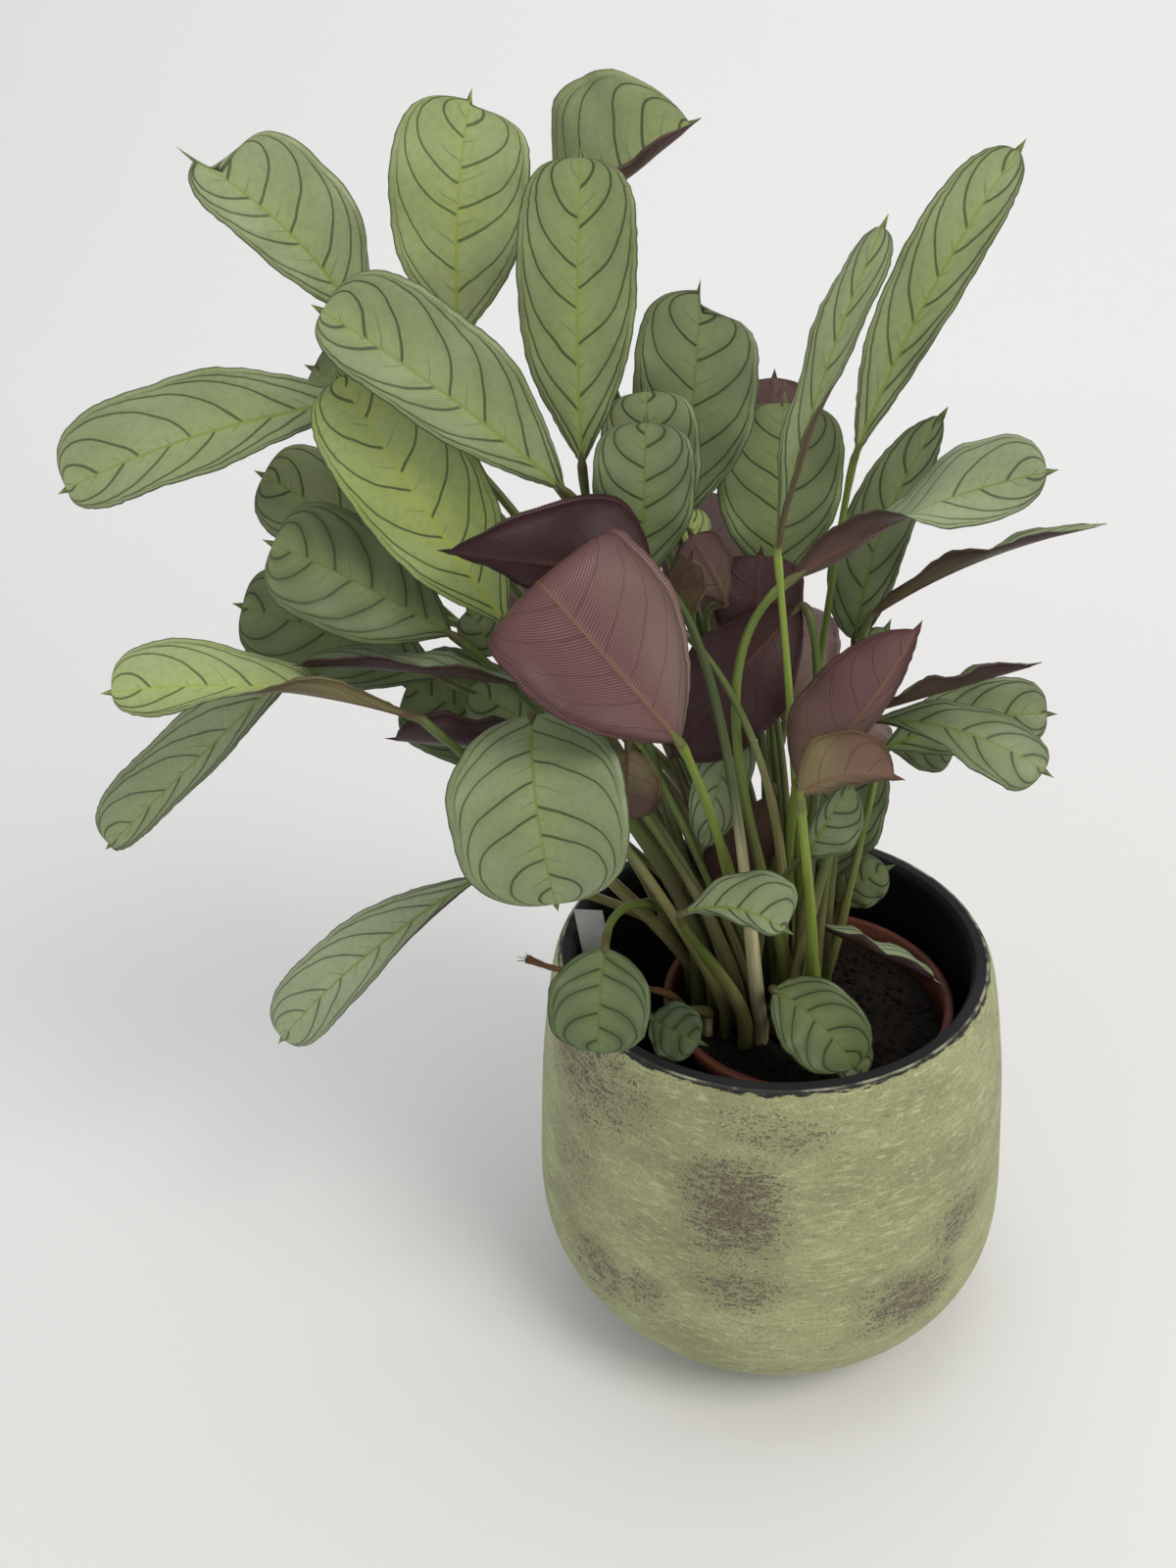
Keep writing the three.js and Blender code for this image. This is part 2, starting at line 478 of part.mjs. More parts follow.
function stalkPath(leaf) {
  const [x, y] = placeOnSpiral(leaf.place);
  const collar = vec(x, y, SOIL_TOP + COLLAR_HEIGHT);
  const start = midribAt(leaf, 0);
  const distance = start.point.distanceTo(collar);
  const [bendX, bendY] = leaf.bend;
  const above = collar.clone().add(vec(bendX / 2, bendY / 2, distance * leaf.rise));
  const before = start.point.clone().addScaledVector(start.heading, -distance * leaf.reach).add(vec(bendX, bendY, 0));
  return { root: vec(x, y, SOIL_TOP - ROOT_DEPTH), curve: new THREE.CubicBezierCurve3(collar, above, before, start.point) };
}

function ringAround(centre, first, second, radius) {
  const ring = [];
  for (let k = 0; k < STALK_SIDES; k += 1) {
    const angle = (2 * Math.PI * k) / STALK_SIDES;
    ring.push(centre.clone()
      .addScaledVector(first, radius * Math.cos(angle))
      .addScaledVector(second, radius * Math.sin(angle)));
  }
  return ring;
}

// Adds rings along the stalk, carried from the root without twisting, and gives the last ring
function addStalk(loft, leaf) {
  const { root, curve } = stalkPath(leaf);
  let first = vec(1, 0, 0);
  const footRadius = STALK_FOOT_RADIUS * leaf.stem;
  loft.addRing(ringAround(root, first, vec(0, 1, 0), footRadius));
  loft.closeStart();
  let ring = null;
  for (let k = 0; k <= STALK_PIECES; k += 1) {
    const share = (NECK_SHARE * k) / STALK_PIECES;
    const tangent = k === 0 ? vec(0, 0, 1) : curve.getTangent(share);
    first = perpendicular(first, tangent);
    const second = tangent.clone().cross(first);
    const radius = footRadius + (STALK_NECK_RADIUS * leaf.stem - footRadius) * share;
    ring = ringAround(curve.getPoint(share), first, second, radius);
    loft.addRing(ring);
  }
  return ring;
}

function nearestIndex(ring, point) {
  let best = 0;
  ring.forEach((candidate, k) => {
    if (candidate.distanceTo(point) < ring[best].distanceTo(point)) best = k;
  });
  return best;
}

function leafSolid(row) {
  const leaf = { turn: 0, twist: 0, arch: 0, sway: 0, open: 0, skew: 0, shape: "long", spike: TIP_SPIKE,
    stem: 1, rise: 0.4, reach: 0.2, bend: [0, 0], ...row };
  const folded = Math.max(...leaf.curl) > FOLD_FROM;
  const small = Math.max(...leaf.half) < SMALL_HALF && !folded;
  const columns = folded ? COLUMNS_FOLDED : COLUMNS;
  const loft = new Loft();
  const neckRing = addStalk(loft, leaf);
  (small ? ROWS_SMALL : ROWS_LARGE).forEach((t, k) => {
    const ring = bladeRing(leaf, t, columns);
    loft.addRing(ring, k === 0 ? nearestIndex(neckRing, ring[0]) : 0);
  });
  const end = frameAt(leaf, 1);
  loft.closeToPoint(end.point.clone().addScaledVector(end.heading, leaf.spike));
  return toSolid(loft.geometry());
}

// Pots
function coverPotGeometry() {
  return toGeometry(toSolid(turned([[0, 0], ...POT_OUTSIDE, ...POT_INSIDE, [0, FLOOR_THICKNESS]], POT_SIDES)));
}

function growingPotRadius(height) {
  const share = clamp(height / (GROWING_HEIGHT - GROWING_LIP), 0, 1);
  return GROWING_BASE_RADIUS + (GROWING_RIM_RADIUS - 2 - GROWING_BASE_RADIUS) * share;
}

function growingPotGeometry() {
  const lipBottom = GROWING_HEIGHT - GROWING_LIP;
  const inside = (height) => growingPotRadius(height) - GROWING_WALL;
  const profile = [
    [0, 0],
    [GROWING_BASE_RADIUS - 1, 0],
    [GROWING_BASE_RADIUS, 1],
    [growingPotRadius(lipBottom), lipBottom],
    [GROWING_RIM_RADIUS, lipBottom + 0.6],
    [GROWING_RIM_RADIUS, GROWING_HEIGHT - 0.6],
    [GROWING_RIM_RADIUS - 0.6, GROWING_HEIGHT],
    [inside(lipBottom), GROWING_HEIGHT],
    [inside(lipBottom), lipBottom],
    [inside(GROWING_WALL), GROWING_WALL],
    [0, GROWING_WALL],
  ];
  return toGeometry(toSolid(turned(profile, GROWING_SIDES)));
}

// Soil, cut by a plain hole for each stalk and for the stub
function hexagonHole(x, y, radius) {
  const cut = radius + GAP / Math.cos(Math.PI / STALK_SIDES);
  const loft = new Loft();
  loft.addRing(ringAround(vec(x, y, SOIL_TOP - HOLE_DEPTH), vec(1, 0, 0), vec(0, 1, 0), cut));
  loft.closeStart();
  loft.addRing(ringAround(vec(x, y, SOIL_TOP + HOLE_DEPTH), vec(1, 0, 0), vec(0, 1, 0), cut));
  loft.closeEnd();
  return toSolid(loft.geometry());
}

function soilGeometry() {
  const bottom = GROWING_BOTTOM + GROWING_WALL + GAP;
  const radiusAt = (z) => growingPotRadius(z - GROWING_BOTTOM) - GROWING_WALL - 2 * GAP;
  const profile = [
    [0, bottom],
    [radiusAt(bottom), bottom],
    [radiusAt(SOIL_TOP - SOIL_DOME), SOIL_TOP - SOIL_DOME],
    [radiusAt(SOIL_TOP) * 0.8, SOIL_TOP - SOIL_DOME * 0.3],
    [radiusAt(SOIL_TOP) * 0.45, SOIL_TOP],
    [0, SOIL_TOP],
  ];
  const body = turned(profile, GROWING_SIDES).translate(GROWING_CENTRE[0], GROWING_CENTRE[1], 0);
  const widest = new Map();
  LEAVES.forEach(({ place, stem = 1 }) => widest.set(place, Math.max(widest.get(place) ?? 0, stem)));
  let soil = toSolid(body);
  widest.forEach((stem, place) => {
    soil = soil.subtract(hexagonHole(...placeOnSpiral(place), STALK_FOOT_RADIUS * stem));
  });
  soil = soil.subtract(hexagonHole(...STUB_FOOT, STUB_RADII[0]));
  return toGeometry(soil);
}

// Label and stub
function labelRing(share, halfWidth) {
  const centre = vec(...LABEL_FOOT).lerp(vec(...LABEL_TOP), share);
  return [[-1, -1], [1, -1], [1, 1], [-1, 1]].map(([x, y]) => (
    centre.clone().add(vec(x * halfWidth, y * LABEL_HALF_THICKNESS, 0))));
}

function labelGeometry() {
  const loft = new Loft();
  loft.addRing(labelRing(0, LABEL_POINT_HALF_WIDTH));
  loft.closeStart();
  loft.addRing(labelRing(LABEL_SHOULDER, LABEL_HALF_WIDTH));
  loft.addRing(labelRing(1, LABEL_HALF_WIDTH));
  loft.closeEnd();
  return toGeometry(toSolid(loft.geometry()));
}

function stubGeometry() {
  const [x, y] = STUB_FOOT;
  const loft = new Loft();
  let first = vec(1, 0, 0);
  loft.addRing(ringAround(vec(x, y, SOIL_TOP - ROOT_DEPTH), first, vec(0, 1, 0), STUB_RADII[0]));
  loft.closeStart();
  loft.addRing(ringAround(vec(x, y, SOIL_TOP + 2), first, vec(0, 1, 0), STUB_RADII[0]));
  const curve = new THREE.CatmullRomCurve3([vec(x, y, SOIL_TOP + 2), ...STUB_WAY.map((p) => vec(...p))]);
  const pieces = STUB_RADII.length - 1;
  for (let k = 1; k <= pieces; k += 1) {
    const tangent = curve.getTangentAt(k / pieces);
    first = perpendicular(first, tangent);
    loft.addRing(ringAround(curve.getPointAt(k / pieces), first, tangent.clone().cross(first), STUB_RADII[k]));
  }
  loft.closeEnd();
  return toGeometry(toSolid(loft.geometry()));
}

// The assembly
const plant = new THREE.Group();

function addPiece(name, geometry, color, roughness) {
  const piece = new THREE.Mesh(geometry, new THREE.MeshStandardMaterial({ color, roughness, metalness: 0 }));
  piece.name = name;
  plant.add(piece);
  return piece;
}

function leafColour(name) {
  if (WINE_LEAVES.includes(name)) return WINE;
  return YOUNG_LEAVES.includes(name) ? YOUNG_GREEN : LEAF_GREEN;
}

function addLeaves() {
  const nodes = new Map();
  LEAVES.forEach((leaf) => {
    const node = leaf.shoot ?? leaf.name;
    const solid = leafSolid(leaf);
    const before = nodes.get(node);
    nodes.set(node, { solid: before ? before.solid.add(solid) : solid, color: before?.color ?? leafColour(leaf.name) });
  });
  nodes.forEach(({ solid, color }, node) => addPiece(node, toGeometry(solid), color, 0.5));
}

addPiece("cover_pot", coverPotGeometry(), CERAMIC, 0.8);
addPiece("nursery_pot", growingPotGeometry(), TERRACOTTA, 0.6).position.set(...GROWING_CENTRE, GROWING_BOTTOM);
addPiece("soil", soilGeometry(), SOIL_BROWN, 1);
addPiece("plant_label", labelGeometry(), LABEL_WHITE, 0.4);
addPiece("dried_stub", stubGeometry(), DRY_BROWN, 0.9);
addLeaves();

export default plant;
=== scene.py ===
# Looks of the potted fishbone prayer plant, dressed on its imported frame.
# Sizes are in millimetres and degrees, in the frame's own axes, and turn to metres where a mesh is made.
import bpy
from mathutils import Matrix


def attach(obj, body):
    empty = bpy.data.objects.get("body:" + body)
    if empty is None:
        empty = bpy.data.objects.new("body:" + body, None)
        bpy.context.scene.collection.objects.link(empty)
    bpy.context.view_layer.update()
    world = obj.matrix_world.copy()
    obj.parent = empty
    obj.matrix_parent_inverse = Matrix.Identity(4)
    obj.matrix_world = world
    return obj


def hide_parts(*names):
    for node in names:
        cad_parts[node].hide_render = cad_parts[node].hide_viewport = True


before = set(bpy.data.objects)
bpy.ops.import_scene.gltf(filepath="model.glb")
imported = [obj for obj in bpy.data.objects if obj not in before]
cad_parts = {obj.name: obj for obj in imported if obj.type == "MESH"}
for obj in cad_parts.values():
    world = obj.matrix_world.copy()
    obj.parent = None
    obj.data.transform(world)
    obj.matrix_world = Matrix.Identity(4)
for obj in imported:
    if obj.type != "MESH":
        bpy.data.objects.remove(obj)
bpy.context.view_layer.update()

from types import SimpleNamespace

import bpy
import numpy as np
from mathutils import Matrix, Vector, noise

MM = 0.001
GOLDEN_ANGLE = np.pi * (3 - np.sqrt(5))

# Cover pot: outside from the foot up, then inside down to the floor
POT_OUTSIDE = [
    (66.8, 0), (68.8, 1.5), (84.2, 14.5), (97.3, 33), (102.4, 47), (103.2, 64),
    (101.3, 90), (98.6, 126), (94.1, 158), (91, 175), (88, 180),
]
POT_INSIDE = [
    (83, 180), (81, 176), (85.5, 156), (89.6, 126), (92.3, 90), (93.1, 58), (88.2, 37), (78, 20),
    (66, 12),
]
POT_TURN_STEPS = 160
POT_ROUNDING = 3
RIM_ROWS = 3
POT_WOBBLE = 0.001
RIM_BAND = 178.8
RIM_BAND_EDGE = 0.4
FOOT_BAND = 24
BAND_LINE = 0.4
BAND_EDGE = 1.2
SCRAPED_RADIUS = 87.6

# Growing pot
GROWING_CENTRE = (15.8, 1.2)
GROWING_BOTTOM = 12.3
GROWING_PROFILE = [
    (0, 0), (44, 0), (45, 1), (59, 132), (61, 132.6), (61, 140.4), (60.4, 141), (57.4, 141),
    (57.4, 132), (43.6, 1.6), (0, 1.6),
]

# Soil
SOIL_TOP = 144
SOIL_RADIUS = 56.4
SOIL_BOTTOM = 14.2
SOIL_BOTTOM_RADIUS = 43.6
SOIL_RELIEF = 2.2
SOIL_SINK = 1.6
SOIL_DOME = 1.2
SOIL_RINGS = 30
SOIL_TURN_STEPS = 96
MIDDLE_HOLE = 0.002
CRUMBS = 520
CRUMB_SIZES = (0.6, 1.9)
CRUMB_RINGS = 4
CRUMB_SIDES = 7
CRUMB_HOLE = 0.12
FIBRES = 70
FIBRE_LENGTHS = (3, 8)
FIBRE_RADIUS = 0.28
SOIL_SEED = 11

# Stalks
CLUMP_CENTRE = (-3, 9)
SPIRAL_STEP = 4.35
SPIRAL_HEART = 0.6
ROOT_DEPTH = 16
COLLAR_HEIGHT = 8
STALK_FOOT_RADIUS = 3
STALK_NECK_RADIUS = 1.7
STALK_ROWS = 44
STALK_SIDES = 14
SHEATH_END = 0.45
SHEATH_SPREAD = 0.2
SHEATH_EDGE = 0.03
SHEATH_GIRTH = 1.06
SHEATH_STEP = 0.2
PULVINUS_LENGTH = 11
PULVINUS_SWELLING = 0.22
END_HOLE = 0.02

# The stalk's tail that runs out under the midrib: shares of the blade, depths and shares of the radius
TAIL_SHARES = (0.015, 0.035, 0.06, 0.09)
TAIL_DEPTHS = (0.1, 0.3, 0.5, 0.5)
TAIL_RADII = (0.85, 0.62, 0.4, 0.12)

# Blades
BLADE_THICKNESS = 0.8
LEAST_HALF_WIDTH = 1.2
EDGE_WAVE = 1.5
WAVES_ALONG = 2.6
WAVE_PHASE = (2.6, 0.9)
SKYWARD = np.array([0, -0.8, 0.6])
BLADE_COLUMNS = 13
COLUMN_CROWDING = 1.35
ROW_SPACING = 1.7
LEAST_ROWS = 18
LEAST_BEND = 0.001
FULLY_OPENED = -0.2
SPIKE_ROWS = 5
SPIKE_END = 0.04
SPIKE_THINNING = 0.6
MARGIN_THINNING = 0.45
RUFFLE = 0.3
RUFFLE_LENGTH = 8
NIBBLE = 0.3
NIBBLE_LENGTHS = (5.3, 8.7)
NIBBLE_MIX = 0.6
RIB_HEIGHT = 0.8
RIB_HALF_WIDTH = 0.8
RIB_FADE = 0.8
RIB_GROOVE = 0.25

# Flat map: the whole of it, the width of one side of a blade, where the underside starts and the spike
WHOLE_MAP = ((0.01, 0.01), (0.98, 0.98))
TURNED_MAP = ((0.005, 0.005), (0.99, 0.99))
SIDE_ON_MAP = 0.42
UNDER_ON_MAP = 0.45
SPIKE_ON_MAP = 0.04

# Veins: the drawn part of the half width, the distance between stripes, and fine veins between two stripes
VEIN_LIMIT = 0.94
LEAST_PITCH = 4
PITCH_GROWTH = 0.125
FINE_VEINS = 13
STRAY_OF_STRIPES = 0.4
WAVER_OF_STRIPES = 0.45
WAVER_SCALE = 38.0
STRIPE_KEY = 31.0
FAINT_KEY = 17.0
RIB_TIP_WIDTH = 0.32
RIB_TAPER = 0.55

# Blade outlines: where the blade is widest, how full its base is and how pointed its end is
OUTLINES = {
    "long": (0.58, 0.95, 0), "round": (0.48, 0.55, 0.6), "broad": (0.34, 0.5, 1), "narrow": (0.5, 0.8, 1),
    "oval": (0.45, 0.45, 0.5), "wedge": (0.24, 0.5, 1.6), "fan": (0.55, 0.8, 0.3), "club": (0.75, 1.1, 0.3),
    "fold": (0.5, 0.8, 0.5), "tongue": (0.6, 0.9, 0.45), "dome": (0.42, 0.55, 1.2),
}


def leaf(number, place, neck, tip, half, **sizes):
    usual = dict(shoot=None, turn=0, twist=0, arch=0, sway=0, curl=(12, 12), open=0, skew=0, shape="long",
                 spike=4, hook=None, stem=1, rise=0.4, reach=0.2, bend=(0, 0))
    own = dict(name=f"leaf_{number:02d}", place=place, neck=neck, tip=tip, half=half)
    return SimpleNamespace(**{**usual, **own, **sizes})


SLIM = 0.8

# Leaves: number and the place of the foot on the spiral, then neck and tip, which are the midrib's ends, and
# the half widths left and right of it. turn is the roll of the blade about the midrib (0 shows the top side,
# 180 the underside) and twist its change from neck to tip. arch lifts the midrib's middle, sway moves it
# sideways, curl folds each half up and open unfolds it toward the tip. skew slants the end, hook rolls it
# back. rise, reach and bend lead the stalk, and two leaves of one shoot share its node.
LEAVES = [
    leaf(1, 35, (-149, 25, 427), (-192, 15, 482), (13, 25), arch=4, sway=4, curl=(15, 10), spike=7,
         skew=-5, rise=0.15, reach=0.05, bend=(-8, -5)),
    leaf(2, 14, (-113, 21, 422), (-104, 27, 497), (24, 25), arch=3, sway=-2, skew=-1, rise=0.55,
         reach=0.1, bend=(4, -2)),
    leaf(3, 4, (-69, 0, 384), (-65, 4, 482), (20, 20), arch=3, sway=-1, rise=0.25, reach=0.3,
         bend=(0, 7)),
    leaf(4, 40, (-76, 45, 457), (-33, 40, 487), (38, 14), arch=4, curl=(5, 140), shape="dome", reach=0.05,
         bend=(-1, 2)),
    leaf(5, 6, (-73, -13, 379), (-145, -29, 444), (14, 24), arch=6, sway=1, curl=(15, 15), rise=0.35,
         bend=(0, 7)),
    leaf(6, 46, (-144, 5, 407), (-251, -19, 383), (14, 22), turn=-8, arch=6, sway=3, curl=(12, 20),
         rise=0.55, reach=0.1, bend=(0, -3)),
    leaf(7, 19, (-127, 35, 376), (-175, 41, 409), (18, 18), arch=3, sway=2, curl=(10, 10), rise=0.35,
         reach=0.15, bend=(-1, 0)),
    leaf(8, 20, (-97, -12, 328), (-144, -24, 422), (20, 25), arch=4, sway=-1, reach=0.1, bend=(-5, -7)),
    leaf(9, 22, (-135, 21, 325), (-192, 17, 376), (19, 20), arch=3, sway=3, curl=(10, 10), rise=0.6,
         reach=0.45, bend=(5, 11)),
    leaf(10, 33, (-118, -13, 325), (-176, -25, 365), (21, 22), arch=4, sway=1, rise=0.25, reach=0.3,
         bend=(3, -14)),
    leaf(11, 25, (-129, 4, 299), (-199, -8, 334), (20, 20), turn=-10, arch=4, sway=2, reach=0.25,
         bend=(3, -3)),
    leaf(12, 38, (-124, -45, 307), (-234, -53, 320), (12, 20), turn=55, twist=-90, arch=4, sway=6,
         curl=(150, 30), open=1.15, rise=0.15, reach=0.1, bend=(-8, -5)),
    leaf(13, 12, (-172, 6, 317), (-275, -12, 227), (9, 18), turn=-10, arch=6, sway=-1, curl=(40, 25),
         rise=0.6, bend=(2, 0)),
    leaf(14, 28, (-82, -25, 310), (-170, -31, 321), (9, 15), turn=65, arch=2, curl=(80, 30), stem=SLIM,
         rise=0.35, reach=0.05, bend=(-7, -6)),
    leaf(15, 17, (-105, -3, 313), (-113, -5, 332), (9, 9), arch=2, curl=(10, 10), shape="round",
         stem=SLIM, rise=0.45, bend=(0, 1), shoot="shoot_15_55"),
    leaf(16, 9, (-91, 15, 264), (-144, 7, 294), (22, 22), arch=3, curl=(10, 10), rise=0.35, reach=0.4,
         bend=(-12, 0)),
    leaf(17, 41, (-83, -30, 286), (-137, -38, 295), (18, 12), turn=75, curl=(110, 60), shape="round",
         stem=SLIM, rise=0.15, reach=0.05, bend=(0, -2)),
    leaf(18, 51, (-86, -37, 305), (-75, -75, 251), (32, 31), arch=16, curl=(14, 14), shape="oval",
         rise=0.15, reach=0.1, bend=(-3, -3)),
    leaf(19, 43, (-111, -29, 231), (-203, -41, 151), (13, 17), turn=-5, arch=6, sway=4, curl=(150, 15),
         open=1.1, rise=0.15, reach=0.05, bend=(-2, 4)),
    leaf(20, 30, (-60, -65, 224), (-61, -87, 194), (19, 19), arch=6, shape="round", rise=0.3, reach=0.25,
         bend=(-4, 9)),
    leaf(21, 54, (-47, -34, 165), (-27, -44, 163), (12, 12), arch=2, curl=(10, 10), shape="round",
         stem=SLIM, rise=0.15, reach=0.35, bend=(7, -1)),
    leaf(22, 23, (2, -38, 186), (33, -58, 167), (16, 17), arch=4, sway=-3, shape="round", rise=0.35,
         reach=0.25, bend=(7, -4), shoot="shoot_22_23"),
    leaf(23, 23, (25, -41, 166), (38, -51, 158), (9, 9), arch=2, curl=(10, 10), shape="round", stem=SLIM,
         rise=0.3, reach=0.15, bend=(-10, -2), shoot="shoot_22_23"),
    leaf(24, 49, (-33, -44, 226), (5, -58, 231), (17, 6), turn=-15, arch=3, sway=-4, shape="club",
         rise=0.25, reach=0.1),
    leaf(25, 26, (14, -3, 196), (65, -17, 178), (10, 9), turn=-70, curl=(30, 80), stem=SLIM, rise=0.25,
         reach=0.05, bend=(-2, 0)),
    leaf(26, 29, (28, 22, 188), (47, 20, 206), (11, 11), arch=2, sway=-1, curl=(10, 10), shape="round",
         stem=SLIM, rise=0.3, bend=(4, 0)),
    leaf(27, 16, (24, 19, 198), (31, 19, 260), (17, 17), arch=2, curl=(10, 10), reach=0.35, bend=(2, 0)),
    leaf(28, 39, (33, -19, 296), (93, -33, 285), (12, 15), turn=-20, arch=4, sway=-4, curl=(15, 120),
         open=1.2, stem=SLIM, rise=0.45, reach=0.05, bend=(-1, -4)),
    leaf(29, 42, (41, 12, 267), (100, 8, 286), (15, 13), arch=5, sway=-3, stem=SLIM, rise=0.15, reach=0.1,
         bend=(8, -5)),
    leaf(30, 50, (45, 31, 257), (71, 29, 259), (10, 12), arch=2, sway=-2, curl=(10, 10), stem=SLIM,
         rise=0.25, reach=0.05, bend=(2, -1), shoot="shoot_30_54"),
    leaf(31, 44, (32, -30, 306), (83, -36, 327), (9, 9), turn=-75, curl=(50, 80), shape="narrow",
         stem=SLIM, rise=0.25, reach=0.05, bend=(8, 4)),
    leaf(32, 34, (33, 0, 329), (103, -10, 366), (9, 9), turn=-80, twist=40, arch=4, curl=(40, 80),
         open=0.5, shape="narrow", stem=SLIM, rise=0.35, reach=0.05, bend=(1, -3)),
    leaf(33, 31, (4, -14, 348), (84, -18, 387), (22, 14), turn=-70, twist=150, arch=4, sway=-7,
         curl=(150, 25), open=1.5, shape="fold", rise=0.25, reach=0.25, bend=(-4, -2)),
    leaf(34, 37, (29, 25, 308), (55, 29, 392), (15, 11), arch=3, sway=-5, shape="broad", stem=SLIM,
         rise=0.25, reach=0.3, bend=(5, 11)),
    leaf(35, 45, (25, 15, 382), (70, 17, 478), (15, 10), arch=4, sway=-3, curl=(20, 20), shape="tongue",
         stem=SLIM, rise=0.25, reach=0.05),
    leaf(36, 13, (-1, -24, 363), (28, -16, 462), (11, 12), turn=-40, arch=4, curl=(30, 150), open=1.1,
         shape="tongue", stem=SLIM, rise=0.3, reach=0.05, bend=(3, -7)),
    leaf(37, 24, (-2, 28, 328), (0, 34, 396), (23, 23), arch=3, rise=0.45, reach=0.15, bend=(-6, 0)),
    leaf(38, 11, (-37, 26, 354), (-30, 36, 431), (22, 23), arch=3, sway=1, skew=-4, reach=0.1,
         bend=(-1, -5)),
    leaf(39, 2, (-48, -5, 344), (-46, -3, 400), (18, 18), arch=3, rise=0.2, reach=0.25, bend=(-3, 13)),
    leaf(40, 1, (-44, 8, 351), (-47, 10, 407), (17, 18), arch=3, rise=0.2, reach=0.1, bend=(-9, 8)),
    leaf(41, 36, (-43, -29, 355), (-110, -37, 367), (27, 15), turn=150, twist=-60, curl=(20, 20),
         shape="wedge", rise=0.15, bend=(-10, -17)),
    leaf(42, 7, (-32, -59, 308), (-90, -45, 374), (33, 28), turn=180, arch=-8, shape="fan",
         hook=(0.7, 150), rise=0.3, reach=0.05, bend=(-2, 6)),
    leaf(43, 10, (-35, -23, 334), (-30, -25, 360), (9, 9), turn=150, arch=-2, curl=(30, 30), stem=SLIM,
         rise=0.55, reach=0.05, bend=(20, -17), shoot="shoot_43_50"),
    leaf(44, 18, (8, 3, 331), (-38, -11, 276), (22, 22), turn=190, arch=-4, curl=(20, 20), shape="narrow",
         rise=0.15, reach=0.05, bend=(7, -15)),
    leaf(45, 0, (-19, -1, 333), (-31, -1, 359), (10, 10), turn=190, arch=-3, curl=(30, 30), stem=SLIM,
         rise=0.75, reach=0.05, bend=(-24, 21), shoot="shoot_45_53"),
    leaf(46, 3, (-9, 12, 302), (-7, 14, 346), (17, 17), turn=180, arch=-3, curl=(15, 15), rise=0.5,
         reach=0.05, bend=(0, 1)),
    leaf(47, 5, (9, -35, 280), (46, -31, 337), (6, 22), turn=180, arch=-4, sway=-3, curl=(20, 20),
         shape="broad", rise=0.45, reach=0.05, bend=(1, 6)),
    leaf(48, 52, (9, -56, 287), (39, -62, 298), (4, 18), turn=170, arch=-2, sway=3, curl=(20, 20),
         shape="broad", rise=0.25, reach=0.05, bend=(5, -3)),
    leaf(49, 8, (-11, -3, 304), (-27, -13, 236), (12, 11), arch=3, curl=(20, 20), shape="narrow",
         stem=SLIM, rise=0.3, bend=(3, 6)),
    leaf(50, 10, (-32, 15, 329), (-33, 17, 362), (10, 10), turn=60, arch=2, curl=(10, 10), stem=SLIM,
         reach=0.15, bend=(-1, 4), shoot="shoot_43_50"),
    leaf(51, 15, (12, -40, 251), (26, -44, 284), (5, 13), arch=2, curl=(10, 10), shape="narrow",
         stem=SLIM, rise=0.15, bend=(-8, 5), shoot="shoot_51_52"),
    leaf(52, 15, (-53, -29, 288), (-54, -31, 259), (13, 13), turn=180, arch=-2, curl=(15, 15),
         shape="round", stem=SLIM, rise=0.15, bend=(-3, -6), shoot="shoot_51_52"),
    leaf(53, 0, (0, -3, 255), (-20, -5, 212), (13, 13), turn=180, arch=-2, curl=(15, 15), stem=SLIM,
         rise=0.15, bend=(-11, 2), shoot="shoot_45_53"),
    leaf(54, 50, (32, 15, 293), (40, 15, 317), (9, 9), arch=2, curl=(10, 10), shape="round", stem=SLIM,
         rise=0.45, reach=0.15, bend=(0, 2), shoot="shoot_30_54"),
    leaf(55, 17, (-74, 6, 263), (-117, 2, 296), (17, 17), arch=2, curl=(10, 10), shape="round", rise=0.45,
         reach=0.4, bend=(-5, -5), shoot="shoot_15_55"),
    leaf(56, 27, (-62, 45, 262), (-118, 67, 312), (18, 19), turn=200, arch=-6, curl=(14, 14), rise=0.15,
         bend=(-3, -1), shoot="shoot_56_57"),
    leaf(57, 27, (-48, 62, 250), (-84, 112, 268), (20, 19), turn=190, arch=-10, curl=(14, 14),
         shape="oval", rise=0.15, reach=0.1, bend=(3, -5), shoot="shoot_56_57"),
    leaf(58, 53, (-22, 66, 280), (-38, 112, 336), (19, 20), turn=185, arch=-8, curl=(14, 14), rise=0.3,
         reach=0.15, bend=(-1, 3), shoot="shoot_58_59"),
    leaf(59, 53, (4, 63, 252), (8, 119, 282), (21, 20), turn=180, arch=-10, curl=(14, 14), shape="oval",
         rise=0.25, reach=0.1, bend=(-2, 1), shoot="shoot_58_59"),
    leaf(60, 32, (-6, 52, 318), (-4, 84, 392), (18, 18), turn=180, arch=-6, curl=(14, 14), rise=0.45,
         reach=0.05, bend=(0, -1), shoot="shoot_60_61"),
    leaf(61, 32, (22, 57, 232), (40, 103, 236), (18, 17), turn=175, arch=-10, curl=(14, 14), shape="oval",
         rise=0.35, reach=0.05, bend=(-1, 5), shoot="shoot_60_61"),
    leaf(62, 48, (-72, 36, 214), (-122, 62, 206), (18, 18), turn=190, arch=-10, curl=(14, 14),
         shape="oval", rise=0.15, reach=0.05, bend=(-3, -3), shoot="shoot_62_63"),
    leaf(63, 48, (-30, 60, 214), (-52, 104, 196), (17, 17), turn=180, arch=-10, curl=(14, 14),
         shape="oval", rise=0.15, reach=0.05, bend=(0, -4), shoot="shoot_62_63"),
]

